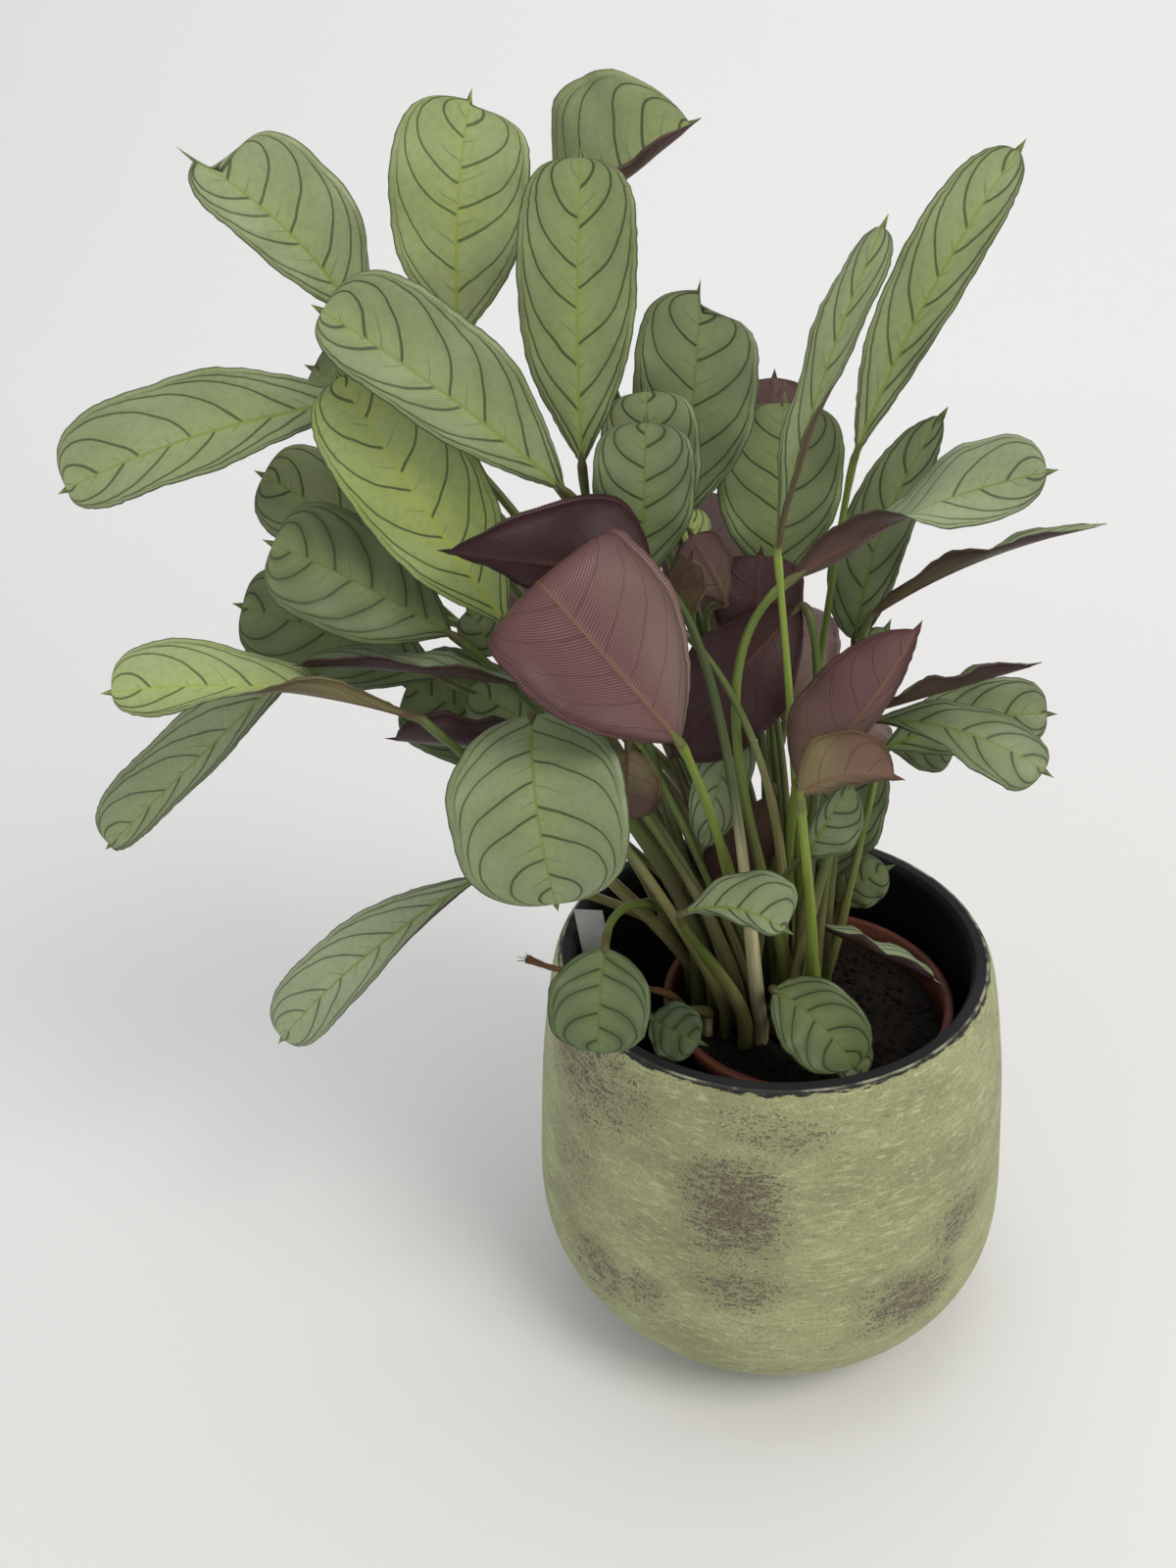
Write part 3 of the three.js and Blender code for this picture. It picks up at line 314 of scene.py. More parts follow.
# How young and yellow-green each leaf is, how pale its top side and how pale its underside, which also sets
# how strong the painted sheen on the underside is
LEAF_TONE = {
    "leaf_01": (0.35, 0.7, 0.3), "leaf_02": (0.75, 0.95, 0.3), "leaf_03": (0.45, 0.35, 0.3),
    "leaf_04": (0.4, 0.45, 0.2), "leaf_05": (0.3, 0.4, 0.3), "leaf_06": (0.3, 0.65, 0.3),
    "leaf_07": (0.2, 0.15, 0.3), "leaf_08": (1, 0.5, 0.3), "leaf_09": (0.3, 0.45, 0.3),
    "leaf_10": (0.15, 0, 0.3), "leaf_11": (0.15, 0.1, 0.3), "leaf_12": (0.75, 0.75, 0.1),
    "leaf_13": (0.15, 0.75, 0.3), "leaf_14": (0.1, 0.25, 0), "leaf_16": (0.1, 0.05, 0.3),
    "leaf_17": (0, 0.3, 0), "leaf_18": (0.15, 0.45, 0.3), "leaf_19": (0, 0.95, 0.2),
    "leaf_20": (0.1, 0, 0.3), "leaf_21": (0, 0, 0.3), "leaf_22": (0.2, 0, 0.3),
    "leaf_24": (0.1, 0.55, 0.3), "leaf_25": (0.1, 0.6, 0), "leaf_33": (0.1, 0.9, 0.25),
    "leaf_31": (0.1, 0.4, 0), "leaf_32": (0.3, 0.8, 0.1), "leaf_35": (0.45, 0.8, 0.3),
    "leaf_36": (0.5, 0.85, 0.2), "leaf_37": (0.3, 0.3, 0.3), "leaf_38": (0.2, 0.35, 0.3),
    "leaf_39": (0.15, 0.25, 0.3), "leaf_40": (0.2, 0.5, 0.3), "leaf_41": (0, 0.3, 0),
    "leaf_42": (0, 0.3, 0.75), "leaf_43": (0.8, 0.5, 0.1), "leaf_44": (0, 0.3, 0.05),
    "leaf_46": (0, 0.3, 0.1), "leaf_47": (0.1, 0.3, 0.7), "leaf_48": (0.9, 0.6, 0.7),
    "leaf_49": (0.1, 0.7, 0.3), "leaf_50": (1, 0.6, 0.3), "leaf_52": (0.5, 0.3, 0.2),
}
USUAL_TONE = (0.15, 0.3, 0.3)

# How bright green each stalk is down to its foot, and how cream its sheath; both also weaken the painted
# shade at its foot
STALK_TONE = {
    "leaf_36": (1, 0), "leaf_48": (1, 0), "leaf_29": (0.7, 0.4), "leaf_42": (0.8, 0.1), "leaf_33": (0.5, 0),
    "leaf_47": (0.6, 0.3), "leaf_41": (0, 1), "leaf_08": (0.1, 0.6), "leaf_35": (0.6, 0.1),
    "leaf_24": (0.3, 0.1),
}
USUAL_STALK = (0.2, 0.15)

# Plant label and dry stub
LABEL_FOOT = (-56, 4, 12.3)
LABEL_TOP = (-75, -6, 198)
LABEL_HALF_WIDTH = 6
LABEL_POINT_HALF_WIDTH = 2
LABEL_SHOULDER = 0.08
LABEL_HALF_THICKNESS = 0.45
LABEL_ROWS = 20
LABEL_SECTION = [(-1, -0.6), (-0.96, -1), (0.96, -1), (1, -0.6), (1, 0.6), (0.96, 1), (-0.96, 1), (-1, 0.6)]
STUB_ROWS = 60
STUB_WAY = [
    (-34, -11, 128), (-34, -11, 146), (-40, -14, 161), (-55, -22, 172), (-70, -31, 184), (-84, -39, 193),
    (-95, -41, 199),
]
STUB_RADII = (1.8, 1.8, 1.7, 1.5, 1.3, 1.1, 1.6)
FRAYED_STRANDS = 9
FRAYED_REACH = 6
FRAYED_RADIUS = 0.32

# Taupe patches worn into the glaze: place, half sizes along X, Y and Z, and strength
TAUPE_PATCHES = [
    ((-10, -98, 128), (24, 30, 30), 0.95),
    ((4, -92, 164), (26, 30, 14), 0.6),
    ((-10, -101, 86), (24, 30, 16), 0.7),
    ((58, -86, 70), (26, 34, 16), 0.95),
    ((78, -62, 96), (16, 30, 18), 0.7),
    ((-68, -62, 160), (34, 34, 34), 0.75),
    ((-76, -64, 112), (20, 34, 36), 0.45),
    ((-66, -76, 64), (20, 34, 18), 0.85),
    ((-48, -88, 70), (18, 30, 14), 0.7),
    ((40, 90, 100), (40, 30, 40), 0.6),
    ((-90, 40, 90), (30, 30, 26), 0.5),
]

# Camera and light
CAMERA_PLACE = (0, -462.2, 532.2)
CAMERA_HEADING = (-0.1345, 0.8501, -0.5092)
CAMERA_ROLL = -3.16
CAMERA_LENS = 31.5
LIGHT_AIM = (0, 0, 0.25)
STUDIO_LIGHTS = [
    ("key_light", (1.3, -1.0, 2.2), 1.2, 33, "fff8ee"),
    ("fill_light", (-1.8, -1.4, 1.4), 1.8, 4, "eef3ff"),
    ("top_light", (0.1, 0.6, 2.4), 1.8, 8, "ffffff"),
]
AIR_TINT = "fffefa"
AIR_STRENGTH = 0.62
SWEEP_START = 1.4
SWEEP_RADIUS = 0.9
FLOOR_FRONT = -3
WALL_HEIGHT = 4.5
WALL_HALF_WIDTH = 4


# Points, directions and smooth steps
def unit(vector):
    return vector / np.linalg.norm(vector, axis=-1, keepdims=True)


def square_to(direction, axis):
    return unit(direction - np.sum(direction * axis, axis=-1, keepdims=True) * axis)


def smooth(share):
    return share * share * (3 - 2 * share)


def step_between(value, low, high):
    return smooth(np.clip((value - low) / (high - low), 0, 1))


# Skin: grids of points joined into one mesh, with data at every face corner
class Skin:
    def __init__(self):
        self.points = []
        self.count = 0
        self.faces = []
        self.data = {"place": [], "size": [], "tone": [], "map": []}
        self.slots = []
        self.smooth = []

    def add_points(self, grid):
        start = self.count
        self.points.append(grid.reshape(-1, 3))
        self.count += grid.shape[0] * grid.shape[1]
        return start + np.arange(grid.shape[0] * grid.shape[1]).reshape(grid.shape[:2])

    def add_faces(self, index, place, size, spot, slot, tone=(0, 0, 0), flip=False,
                  smooth_shaded=True):
        faces = corners(index, flip)
        self.faces.append(faces)
        tones = np.broadcast_to(np.array(tone, float), place.shape)
        for key, grid in (("place", place), ("size", size), ("tone", tones), ("map", spot)):
            self.data[key].append(corners(grid, flip))
        self.slots.append(np.full(len(faces), slot))
        self.smooth.append(np.full(len(faces), smooth_shaded))

    def make(self, name, materials):
        faces = np.concatenate(self.faces)
        mesh = bpy.data.meshes.new(name)
        mesh.from_pydata((np.concatenate(self.points) * MM).tolist(), [], faces.tolist())
        for material in materials:
            mesh.materials.append(material)
        mesh.polygons.foreach_set("material_index", np.concatenate(self.slots).astype(np.int32))
        mesh.polygons.foreach_set("use_smooth", np.concatenate(self.smooth))
        for key in ("place", "size", "tone"):
            layer = mesh.attributes.new(key, "FLOAT_VECTOR", "CORNER")
            layer.data.foreach_set("vector", np.concatenate(self.data[key]).astype(np.float32).ravel())
        uv = mesh.uv_layers.new(name="OFBake")
        uv.data.foreach_set("uv", np.concatenate(self.data["map"]).astype(np.float32).ravel())
        mesh.update()
        made = bpy.data.objects.new(name, mesh)
        bpy.context.scene.collection.objects.link(made)
        return made


def corners(grid, flip):
    found = np.stack([grid[:-1, :-1], grid[:-1, 1:], grid[1:, 1:], grid[1:, :-1]], axis=2)
    found = found.reshape(-1, 4, *grid.shape[2:])
    return found[:, ::-1] if flip else found


def wrapped(grid):
    return np.concatenate([grid, grid[:, :1]], axis=1)


def stack3(first, second, third):
    return np.stack(np.broadcast_arrays(first, second, third), axis=-1).astype(float)


# A patch of the flat map: low corner and size, filled by shares across and along
def map_patch(corner, size, across, along):
    return np.stack(np.broadcast_arrays(corner[0] + size[0] * across, corner[1] + size[1] * along), axis=-1)


# Blade form
def outline_at(shape, t):
    widest, base, point = OUTLINES[shape]
    rising = np.sin(np.pi / 2 * np.clip(t / widest, 0, 1)) ** base
    share = np.clip((t - widest) / (1 - widest), 0, 1)
    falling = (1 - share ** (4.5 - 2 * point)) ** (0.36 + 0.24 * point)
    return np.where(t < widest, rising, falling)


def blade_axes(row):
    neck = np.array(row.neck, float)
    chord = np.array(row.tip, float) - neck
    along = unit(chord)
    facing = square_to(SKYWARD, along)
    return neck, chord, facing, np.cross(along, facing)


def midrib_at(row, t):
    neck, chord, facing, beside = blade_axes(row)
    turn = np.radians(row.turn)
    up = facing * np.cos(turn) + beside * np.sin(turn)
    side = beside * np.cos(turn) - facing * np.sin(turn)
    bow = up * row.arch + side * row.sway
    t = t[:, None]
    point = neck + chord * t + bow * (4 * t * (1 - t))
    heading = unit(chord + bow * (4 - 8 * t))
    roll = np.radians(row.turn + row.twist * (smooth(t) - 0.5))
    normal = square_to(facing * np.cos(roll) + beside * np.sin(roll), heading)
    return point, heading, normal, np.cross(heading, normal)


def row_length(row):
    return np.linalg.norm(np.subtract(row.tip, row.neck))


def frame_at(row, t):
    point, heading, normal, sideways = midrib_at(row, np.minimum(t, row.hook[0] if row.hook else 1))
    if not row.hook:
        return point, heading, normal, sideways
    start, angle = row.hook
    length = row_length(row)
    radius = (1 - start) * length / np.radians(angle)
    turned = (np.maximum(t - start, 0) * length / radius)[:, None]
    point = point + heading * radius * np.sin(turned) + normal * radius * (1 - np.cos(turned))
    bent = heading * np.cos(turned) + normal * np.sin(turned)
    return point, bent, normal * np.cos(turned) - heading * np.sin(turned), sideways


# The value for the half left of the midrib or for the half right of it, at each column
def for_sides(pair, u):
    return np.array(pair, float)[(u >= 0).astype(int)][None, :]


def blade_rows(row):
    count = max(LEAST_ROWS, int(row_length(row) / ROW_SPACING))
    shares = 0.5 - 0.5 * np.cos(np.pi * np.linspace(0, 1, count))
    over = np.concatenate([np.zeros(count), np.linspace(0, 1, SPIKE_ROWS + 1)[1:]])
    return np.concatenate([shares, np.ones(SPIKE_ROWS)]), over


# Half widths with the nibbled margin, then those of the spike that runs on from the tip
def half_widths(row, seed, t, over, u):
    half = for_sides(row.half, u) * outline_at(row.shape, t)[:, None]
    travelled = 2 * np.pi * t * row_length(row)
    first, second = [
        np.sin(travelled / wave + (k + 1) * seed)[:, None] for k, wave in enumerate(NIBBLE_LENGTHS)]
    bites = np.abs(first * NIBBLE_MIX + np.where(u < 0, 1.0, -1.0) * second)
    half = np.maximum(half - NIBBLE * np.abs(u) * bites, LEAST_HALF_WIDTH)
    spike = LEAST_HALF_WIDTH * np.maximum(1 - over[:, None], SPIKE_END)
    return np.where(over[:, None] > 0, spike, half)


def blade_grid(row, seed):
    t, over = blade_rows(row)
    length = row_length(row)
    point, heading, normal, sideways = frame_at(row, t)
    point = point + heading * (row.spike * over)[:, None]
    steps = np.linspace(-1, 1, 2 * BLADE_COLUMNS + 1)
    u = np.sign(steps) * np.abs(steps) ** COLUMN_CROWDING
    share = np.abs(u)
    sign = np.where(u < 0, -1.0, 1.0)
    half = half_widths(row, seed, t, over, u)
    bend = np.radians(for_sides(row.curl, u)) * np.clip(1 - row.open * t, FULLY_OPENED, 1)[:, None]
    bend = np.where(np.abs(bend) < LEAST_BEND, LEAST_BEND, bend)
    angle = bend * share
    phase = for_sides(WAVE_PHASE, u)
    still = np.sin(np.pi * np.clip(t, 0, 1))[:, None]
    ripple = np.sin(2 * np.pi * WAVES_ALONG * t[:, None] + phase) * still
    ruffle = np.sin(2 * np.pi * t[:, None] * length / RUFFLE_LENGTH + seed * 5 + phase * 2) * still
    across = half * np.sin(angle) / bend
    lift = half * (1 - np.cos(angle)) / bend + EDGE_WAVE * share**2 * ripple + RUFFLE * share**4 * ruffle
    slant = row.skew * u[None, :] * (t * t)[:, None]
    place = point[:, None] + sideways[:, None] * (sign * across)[..., None]
    place = place + normal[:, None] * lift[..., None] + heading[:, None] * slant[..., None]
    up = normal[:, None] * np.cos(angle)[..., None] - sideways[:, None] * (sign * np.sin(angle))[..., None]
    return SimpleNamespace(t=t, u=u, over=over, half=half, place=place, up=up, length=length)


def add_blade(skin, row, seed, corner, size):
    grid = blade_grid(row, seed)
    t, u, over = grid.t[:, None], grid.u[None, :], grid.over[:, None]
    near_rib = np.exp(-((np.abs(u) * grid.half / RIB_HALF_WIDTH) ** 2))
    rib = RIB_HEIGHT * (1 - RIB_FADE * t) * near_rib * (over == 0)
    thin = BLADE_THICKNESS / 2 * (1 - MARGIN_THINNING * np.abs(u) ** 4) * (1 - SPIKE_THINNING * over)
    top_index = skin.add_points(grid.place + grid.up * (thin - RIB_GROOVE * rib)[..., None])
    under_index = skin.add_points(grid.place - grid.up * (thin + rib)[..., None])
    place = stack3(t, u, seed)
    scale = stack3(grid.length, grid.half, 0)
    tone = LEAF_TONE.get(row.name, USUAL_TONE)
    spread = ((u + 1) / 2, (t + over * SPIKE_ON_MAP) / (1 + SPIKE_ON_MAP))
    side_size = (size[0] * SIDE_ON_MAP, size[1])
    top_map = map_patch(corner, side_size, *spread)
    under_map = map_patch((corner[0] + size[0] * UNDER_ON_MAP, corner[1]), side_size, *spread)
    skin.add_faces(top_index, place, scale, top_map, 0, tone)
    skin.add_faces(under_index, place, scale, under_map, 1, tone, flip=True)
    for axis in (1, 0):
        for k, flip in ((0, True), (-1, False)):
            edge = (slice(None), k) if axis else k
            picks = [np.stack([g[edge], g[edge]], axis=axis) for g in (place, scale, top_map)]
            index = np.stack([top_index[edge], under_index[edge]], axis=axis)
            skin.add_faces(index, *picks, 0, tone, flip=flip, smooth_shaded=False)


# Stalks
def place_on_spiral(place):
    angle = place * GOLDEN_ANGLE
    radius = SPIRAL_STEP * np.sqrt(place + SPIRAL_HEART)
    return np.array([CLUMP_CENTRE[0] + radius * np.cos(angle), CLUMP_CENTRE[1] + radius * np.sin(angle)])


def stalk_points(row):
    x, y = place_on_spiral(row.place)
    root = np.array([x, y, SOIL_TOP - ROOT_DEPTH])
    collar = np.array([x, y, SOIL_TOP + COLLAR_HEIGHT])
    point, heading, _, _ = midrib_at(row, np.zeros(1))
    neck, heading = point[0], heading[0]
    distance = np.linalg.norm(neck - collar)
    above = collar + [row.bend[0] / 2, row.bend[1] / 2, distance * row.rise]
    before = neck - heading * distance * row.reach + [row.bend[0], row.bend[1], 0]
    s = np.linspace(0, 1, STALK_ROWS)[:, None]
    curve = (1 - s) ** 3 * collar + 3 * (1 - s) ** 2 * s * above + 3 * (1 - s) * s**2 * before + s**3 * neck
    return np.concatenate([[root, (root + collar) / 2], curve])


def lengths_along(points):
    return np.concatenate([[0], np.cumsum(np.linalg.norm(np.diff(points, axis=0), axis=1))])


def tube_grid(points, radii, sides):
    tangents = unit(np.gradient(points, axis=0))
    first = square_to(np.array([1.0, 0, 0]), tangents[0])
    rings = []
    angles = 2 * np.pi * np.arange(sides) / sides
    for point, tangent, radius in zip(points, tangents, radii):
        first = square_to(first, tangent)
        second = np.cross(tangent, first)
        ring = np.cos(angles)[:, None] * first + np.sin(angles)[:, None] * second
        rings.append(point + ring * np.reshape(radius, (-1, 1)))
    return np.array(rings)


def add_tube(skin, points, radii, sides, seed, tone, corner, size, slot):
    grid = tube_grid(points, radii, sides)
    first = points[0] + (grid[:1] - points[0]) * END_HOLE
    last = points[-1] + (grid[-1:] - points[-1]) * END_HOLE
    index = wrapped(skin.add_points(np.concatenate([first, grid, last])))
    travelled = lengths_along(points)
    share = np.concatenate([[0], travelled / travelled[-1], [1]])
    turn = np.linspace(0, 1, sides + 1)[None, :]
    place = stack3(share[:, None], turn, seed)
    scale = stack3(travelled[-1], radii[0], np.zeros_like(place[..., 0]))
    skin.add_faces(index, place, scale, map_patch(corner, size, turn, share[:, None]), slot, tone)


def stalk_radii(row, share, to_neck, seed):
    foot = STALK_FOOT_RADIUS * row.stem
    plain = foot + (STALK_NECK_RADIUS * row.stem - foot) * share
    sheath_end = SHEATH_END + SHEATH_SPREAD * np.sin(seed * 1.7)
    bare = step_between(share, sheath_end - SHEATH_EDGE, sheath_end + SHEATH_EDGE)
    swollen = 1 + PULVINUS_SWELLING * step_between(-to_neck, -PULVINUS_LENGTH, -PULVINUS_LENGTH + 2)
    return plain * (SHEATH_GIRTH - SHEATH_STEP * bare) * swollen


def add_stalk(skin, row, seed, corner, size):
    points = stalk_points(row)
    travelled = lengths_along(points)
    buried = ROOT_DEPTH + COLLAR_HEIGHT
    share = np.clip((travelled - buried) / (travelled[-1] - buried), 0, 1)
    radii = stalk_radii(row, share, travelled[-1] - travelled, seed)
    point, _, normal, _ = midrib_at(row, np.array(TAIL_SHARES))
    tail = point - normal * np.array(TAIL_DEPTHS)[:, None]
    points = np.concatenate([points, tail])
    radii = np.concatenate([radii, radii[-1] * np.array(TAIL_RADII)])
    tone = (*STALK_TONE.get(row.name, USUAL_STALK), 0)
    add_tube(skin, points, radii, STALK_SIDES, seed, tone, corner, size, 2)


# Leaf pieces: one for each leaf, or for each shoot of two
def leaf_nodes():
    nodes = {}
    for number, row in enumerate(LEAVES):
        nodes.setdefault(row.shoot or row.name, []).append((number, row))
    return nodes


def build_leaves(materials):
    for node, members in leaf_nodes().items():
        skin = Skin()
        for k, (number, row) in enumerate(members):
            height = 0.96 / len(members)
            corner = (0.01, 0.02 + k * (height + 0.01))
            seed = float(number)
            add_blade(skin, row, seed, corner, (0.98, height - 0.01))
            add_stalk(skin, row, seed, (0.89, corner[1]), (0.09, height - 0.01))
        finish_piece(skin.make("plant_" + node, materials), node)


def finish_piece(piece, node):
    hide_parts(node)
    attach(piece, "root")


# Turned pieces
def rounded_profile(profile, times):
    points = np.array(profile, float)
    for _ in range(times):
        cut = [points[0]]
        for a, b in zip(points[:-1], points[1:]):
            cut += [a * 0.75 + b * 0.25, a * 0.25 + b * 0.75]
        points = np.array([*cut, points[-1]])
    return points


def add_turned(skin, profile, steps, first_inside, centre=(0, 0), bottom=0, wobble=0.0):
    angles = 2 * np.pi * np.arange(steps) / steps
    radius, height = profile[:, 0], profile[:, 1] + bottom
    wave = 1 + wobble * (np.sin(3 * angles + 0.6) + 0.6 * np.sin(7 * angles + 2))
    ring = radius[:, None] * wave[None, :]
    grid = np.stack([centre[0] + ring * np.cos(angles), centre[1] + ring * np.sin(angles),
                     np.broadcast_to(height[:, None], ring.shape)], axis=-1)
    index = wrapped(skin.add_points(grid))
    share = lengths_along(profile)
    share = share / share[-1]
    turn = np.linspace(0, 1, steps + 1)[None, :]
    place = stack3(share[:, None], turn, 0)
    scale = stack3(radius[:, None], height[:, None], np.zeros_like(turn))
    spot = map_patch(*TURNED_MAP, turn, share[:, None])
    for k in range(len(profile) - 1):
        rows = slice(k, k + 2)
        skin.add_faces(index[rows], place[rows], scale[rows], spot[rows], int(k >= first_inside))


# Colours as seen in daylight, turned to the shader's own scale
def colour(code):
    parts = np.array([int(code[k:k + 2], 16) for k in (0, 2, 4)]) / 255
    return (*np.where(parts <= 0.04045, parts / 12.92, ((parts + 0.055) / 1.055) ** 2.4).tolist(), 1)


# Wiring of one node tree in few words. A colour code may stand wherever a colour is plugged in.
class Wiring:
    def __init__(self, tree):
        self.tree = tree

    def node(self, kind, inputs=None, **settings):
        made = self.tree.nodes.new(kind)
        for key, value in settings.items():
            setattr(made, key, value)
        for key, value in (inputs or {}).items():
            self.plug(made.inputs[key], value)
        return made

    def plug(self, socket, value):
        if isinstance(value, bpy.types.NodeSocket):
            self.tree.links.new(value, socket)
        else:
            socket.default_value = colour(value) if isinstance(value, str) else value

    def math(self, operation, *values):
        made = self.node("ShaderNodeMath", operation=operation)
        for socket, value in zip(made.inputs, values):
            self.plug(socket, value)
        return made.outputs[0]

    def plus(self, first, second):
        return self.math("ADD", first, second)

    def minus(self, first, second):
        return self.math("SUBTRACT", first, second)

    def times(self, first, second):
        return self.math("MULTIPLY", first, second)

    def over(self, first, second):
        return self.math("DIVIDE", first, second)

    def scaled(self, value, factor, added):
        return self.math("MULTIPLY_ADD", value, factor, added)

    def size_of(self, value):
        return self.math("ABSOLUTE", value)

    def step(self, value, low, high, to_low=0.0, to_high=1.0):
        inputs = {"Value": value, "From Min": low, "From Max": high, "To Min": to_low, "To Max": to_high}
        return self.node("ShaderNodeMapRange", inputs, interpolation_type="SMOOTHSTEP").outputs[0]

    def mix(self, share, first, second):
        made = self.node("ShaderNodeMix", data_type="RGBA")
        for place, value in ((0, share), (6, first), (7, second)):
            self.plug(made.inputs[place], value)
        return made.outputs[2]

    def wash(self, base, share, strength, tint):
        return self.mix(self.times(share, strength), base, tint)

    def veil(self, base, value, low, high, strength, tint):
        return self.mix(self.step(value, low, high, 0, strength), base, tint)

    def noise(self, vector, scale, detail=2.0, roughness=0.5):
        inputs = {"Vector": vector, "Scale": scale, "Detail": detail, "Roughness": roughness}
        return self.node("ShaderNodeTexNoise", inputs).outputs["Fac"]

    def line_noise(self, value):
        inputs = {"Scale": 1.0, "Detail": 0.0, "W": value}
        return self.node("ShaderNodeTexNoise", inputs, noise_dimensions="1D").outputs["Fac"]

    def cell_noise(self, value):
        return self.node("ShaderNodeTexWhiteNoise", {"W": value}, noise_dimensions="1D").outputs["Value"]

    def spot(self):
        return self.node("ShaderNodeTexCoord").outputs["Object"]

    def joined(self, x, y, z):
        return self.node("ShaderNodeCombineXYZ", {"X": x, "Y": y, "Z": z}).outputs[0]

    def parts(self, vector):
        return self.node("ShaderNodeSeparateXYZ", {"Vector": vector}).outputs

    def data(self, name):
        return self.parts(self.node("ShaderNodeAttribute", attribute_name=name).outputs["Vector"])

    def group(self, tree, inputs):
        return self.node("ShaderNodeGroup", inputs, node_tree=tree).outputs

    def bump(self, height, distance, strength):
        return self.node("ShaderNodeBump", {
            "Height": height, "Distance": distance * MM, "Strength": strength}).outputs[0]


def new_group(name, inputs, outputs):
    tree = bpy.data.node_groups.new(name, "ShaderNodeTree")
    for key, value in inputs.items():
        made = tree.interface.new_socket(name=key, in_out="INPUT", socket_type="NodeSocketFloat")
        made.default_value = value
    for key in outputs:
        tree.interface.new_socket(name=key, in_out="OUTPUT", socket_type="NodeSocketFloat")
    w = Wiring(tree)
    return tree, w, w.node("NodeGroupInput").outputs, w.node("NodeGroupOutput").inputs


def new_material(name, specular):
    made = bpy.data.materials.new(name)
    made.use_nodes = True
    made.node_tree.nodes.clear()
    w = Wiring(made.node_tree)
    surface = w.node("ShaderNodeBsdfPrincipled", {"Specular IOR Level": specular})
    w.node("ShaderNodeOutputMaterial", {"Surface": surface.outputs[0]})
    return made, w, surface.inputs


# Finish of a material: its colour, its roughness and its relief as height, depth in mm and strength
def dress(w, surface, base, rough, relief=None):
    w.plug(surface["Base Color"], base)
    w.plug(surface["Roughness"], rough)
    if relief:
        w.plug(surface["Normal"], w.bump(*relief))


# Fishbone veins: stripes that leave the midrib at a slant, sweep toward the tip and die along the margin
def fishbone_group():
    inputs = {
        "Along": 0.5, "Across": 0.0, "Seed": 0.0, "Length": 100.0, "Half Width": 20.0, "Stripe Width": 0.45,
        "Sweep": 0.125,
    }
    outputs = ("Stripe", "Faint", "Fine", "Panel", "Midrib", "Margin")
    tree, w, given, result = new_group("Fishbone Veins", inputs, outputs)
    along, length, half = given["Along"], given["Length"], given["Half Width"]
    away = w.size_of(given["Across"])
    side = w.math("GREATER_THAN", given["Across"], 0)
    room = w.minus(1, w.math("MINIMUM", w.over(away, VEIN_LIMIT), 0.985))
    level = w.scaled(w.math("LOGARITHM", room, np.e), given["Sweep"], along)
    count = w.over(length, w.scaled(length, PITCH_GROWTH, LEAST_PITCH))
    plain = w.scaled(level, count, w.scaled(side, 0.5, w.times(given["Seed"], 3.7)))
    waver = w.minus(w.noise(w.spot(), WAVER_SCALE), 0.5)
    phase = w.scaled(waver, WAVER_OF_STRIPES, plain)
    slope = w.over(given["Sweep"], w.times(w.times(room, VEIN_LIMIT), half))
    flat = w.over(1, length)
    per_mm = w.times(count, w.math("SQRT", w.plus(w.times(slope, slope), w.times(flat, flat))))
    ends = w.times(w.step(away, 0.86, 0.94, 1, 0), w.step(along, 0.01, 0.05))

    stray = w.minus(w.cell_noise(w.plus(w.math("FLOOR", phase), w.times(side, STRIPE_KEY))), 0.5)
    apart = w.size_of(w.minus(w.math("FRACT", phase), w.scaled(stray, STRAY_OF_STRIPES, 0.5)))
    wide = w.times(given["Stripe Width"], w.step(away, 0, 1, 1.05, 0.6))
    line = w.step(w.over(apart, per_mm), w.times(wide, 0.6), w.times(wide, 1.4), 1, 0)
    w.plug(result["Stripe"], w.times(line, ends))
    w.plug(result["Panel"], w.step(apart, 0.05, 0.4))

    shifted = w.plus(phase, 0.5)
    odd = w.cell_noise(w.plus(w.math("FLOOR", shifted), w.times(side, FAINT_KEY)))
    odd_apart = w.size_of(w.minus(w.math("FRACT", shifted), w.scaled(odd, 0.2, 0.4)))
    reach = w.scaled(odd, 0.5, 0.12)
    faint = w.times(w.step(w.over(odd_apart, per_mm), 0.08, 0.42, 1, 0),
                    w.step(away, w.times(reach, 0.3), reach, 1, 0))
    w.plug(result["Faint"], w.times(faint, ends))
    w.plug(result["Fine"], w.scaled(w.math("SINE", w.times(plain, 2 * np.pi * FINE_VEINS)), 0.5, 0.5))

    rib = w.scaled(w.minus(1, along), RIB_TAPER, RIB_TIP_WIDTH)
    w.plug(result["Midrib"], w.step(w.times(away, half), w.times(rib, 0.6), w.times(rib, 1.25), 1, 0))
    margin = w.step(w.times(w.minus(1, away), half), 0.15, 0.65, 1, 0)
    w.plug(result["Margin"], w.times(margin, w.step(half, 1.5, 5.0)))
    return tree


def blade_inputs(w):
    along, across, seed = w.data("place")
    length, half, _ = w.data("size")
    veins = {"Along": along, "Across": across, "Seed": seed, "Length": length, "Half Width": half}
    return veins, w.data("tone")


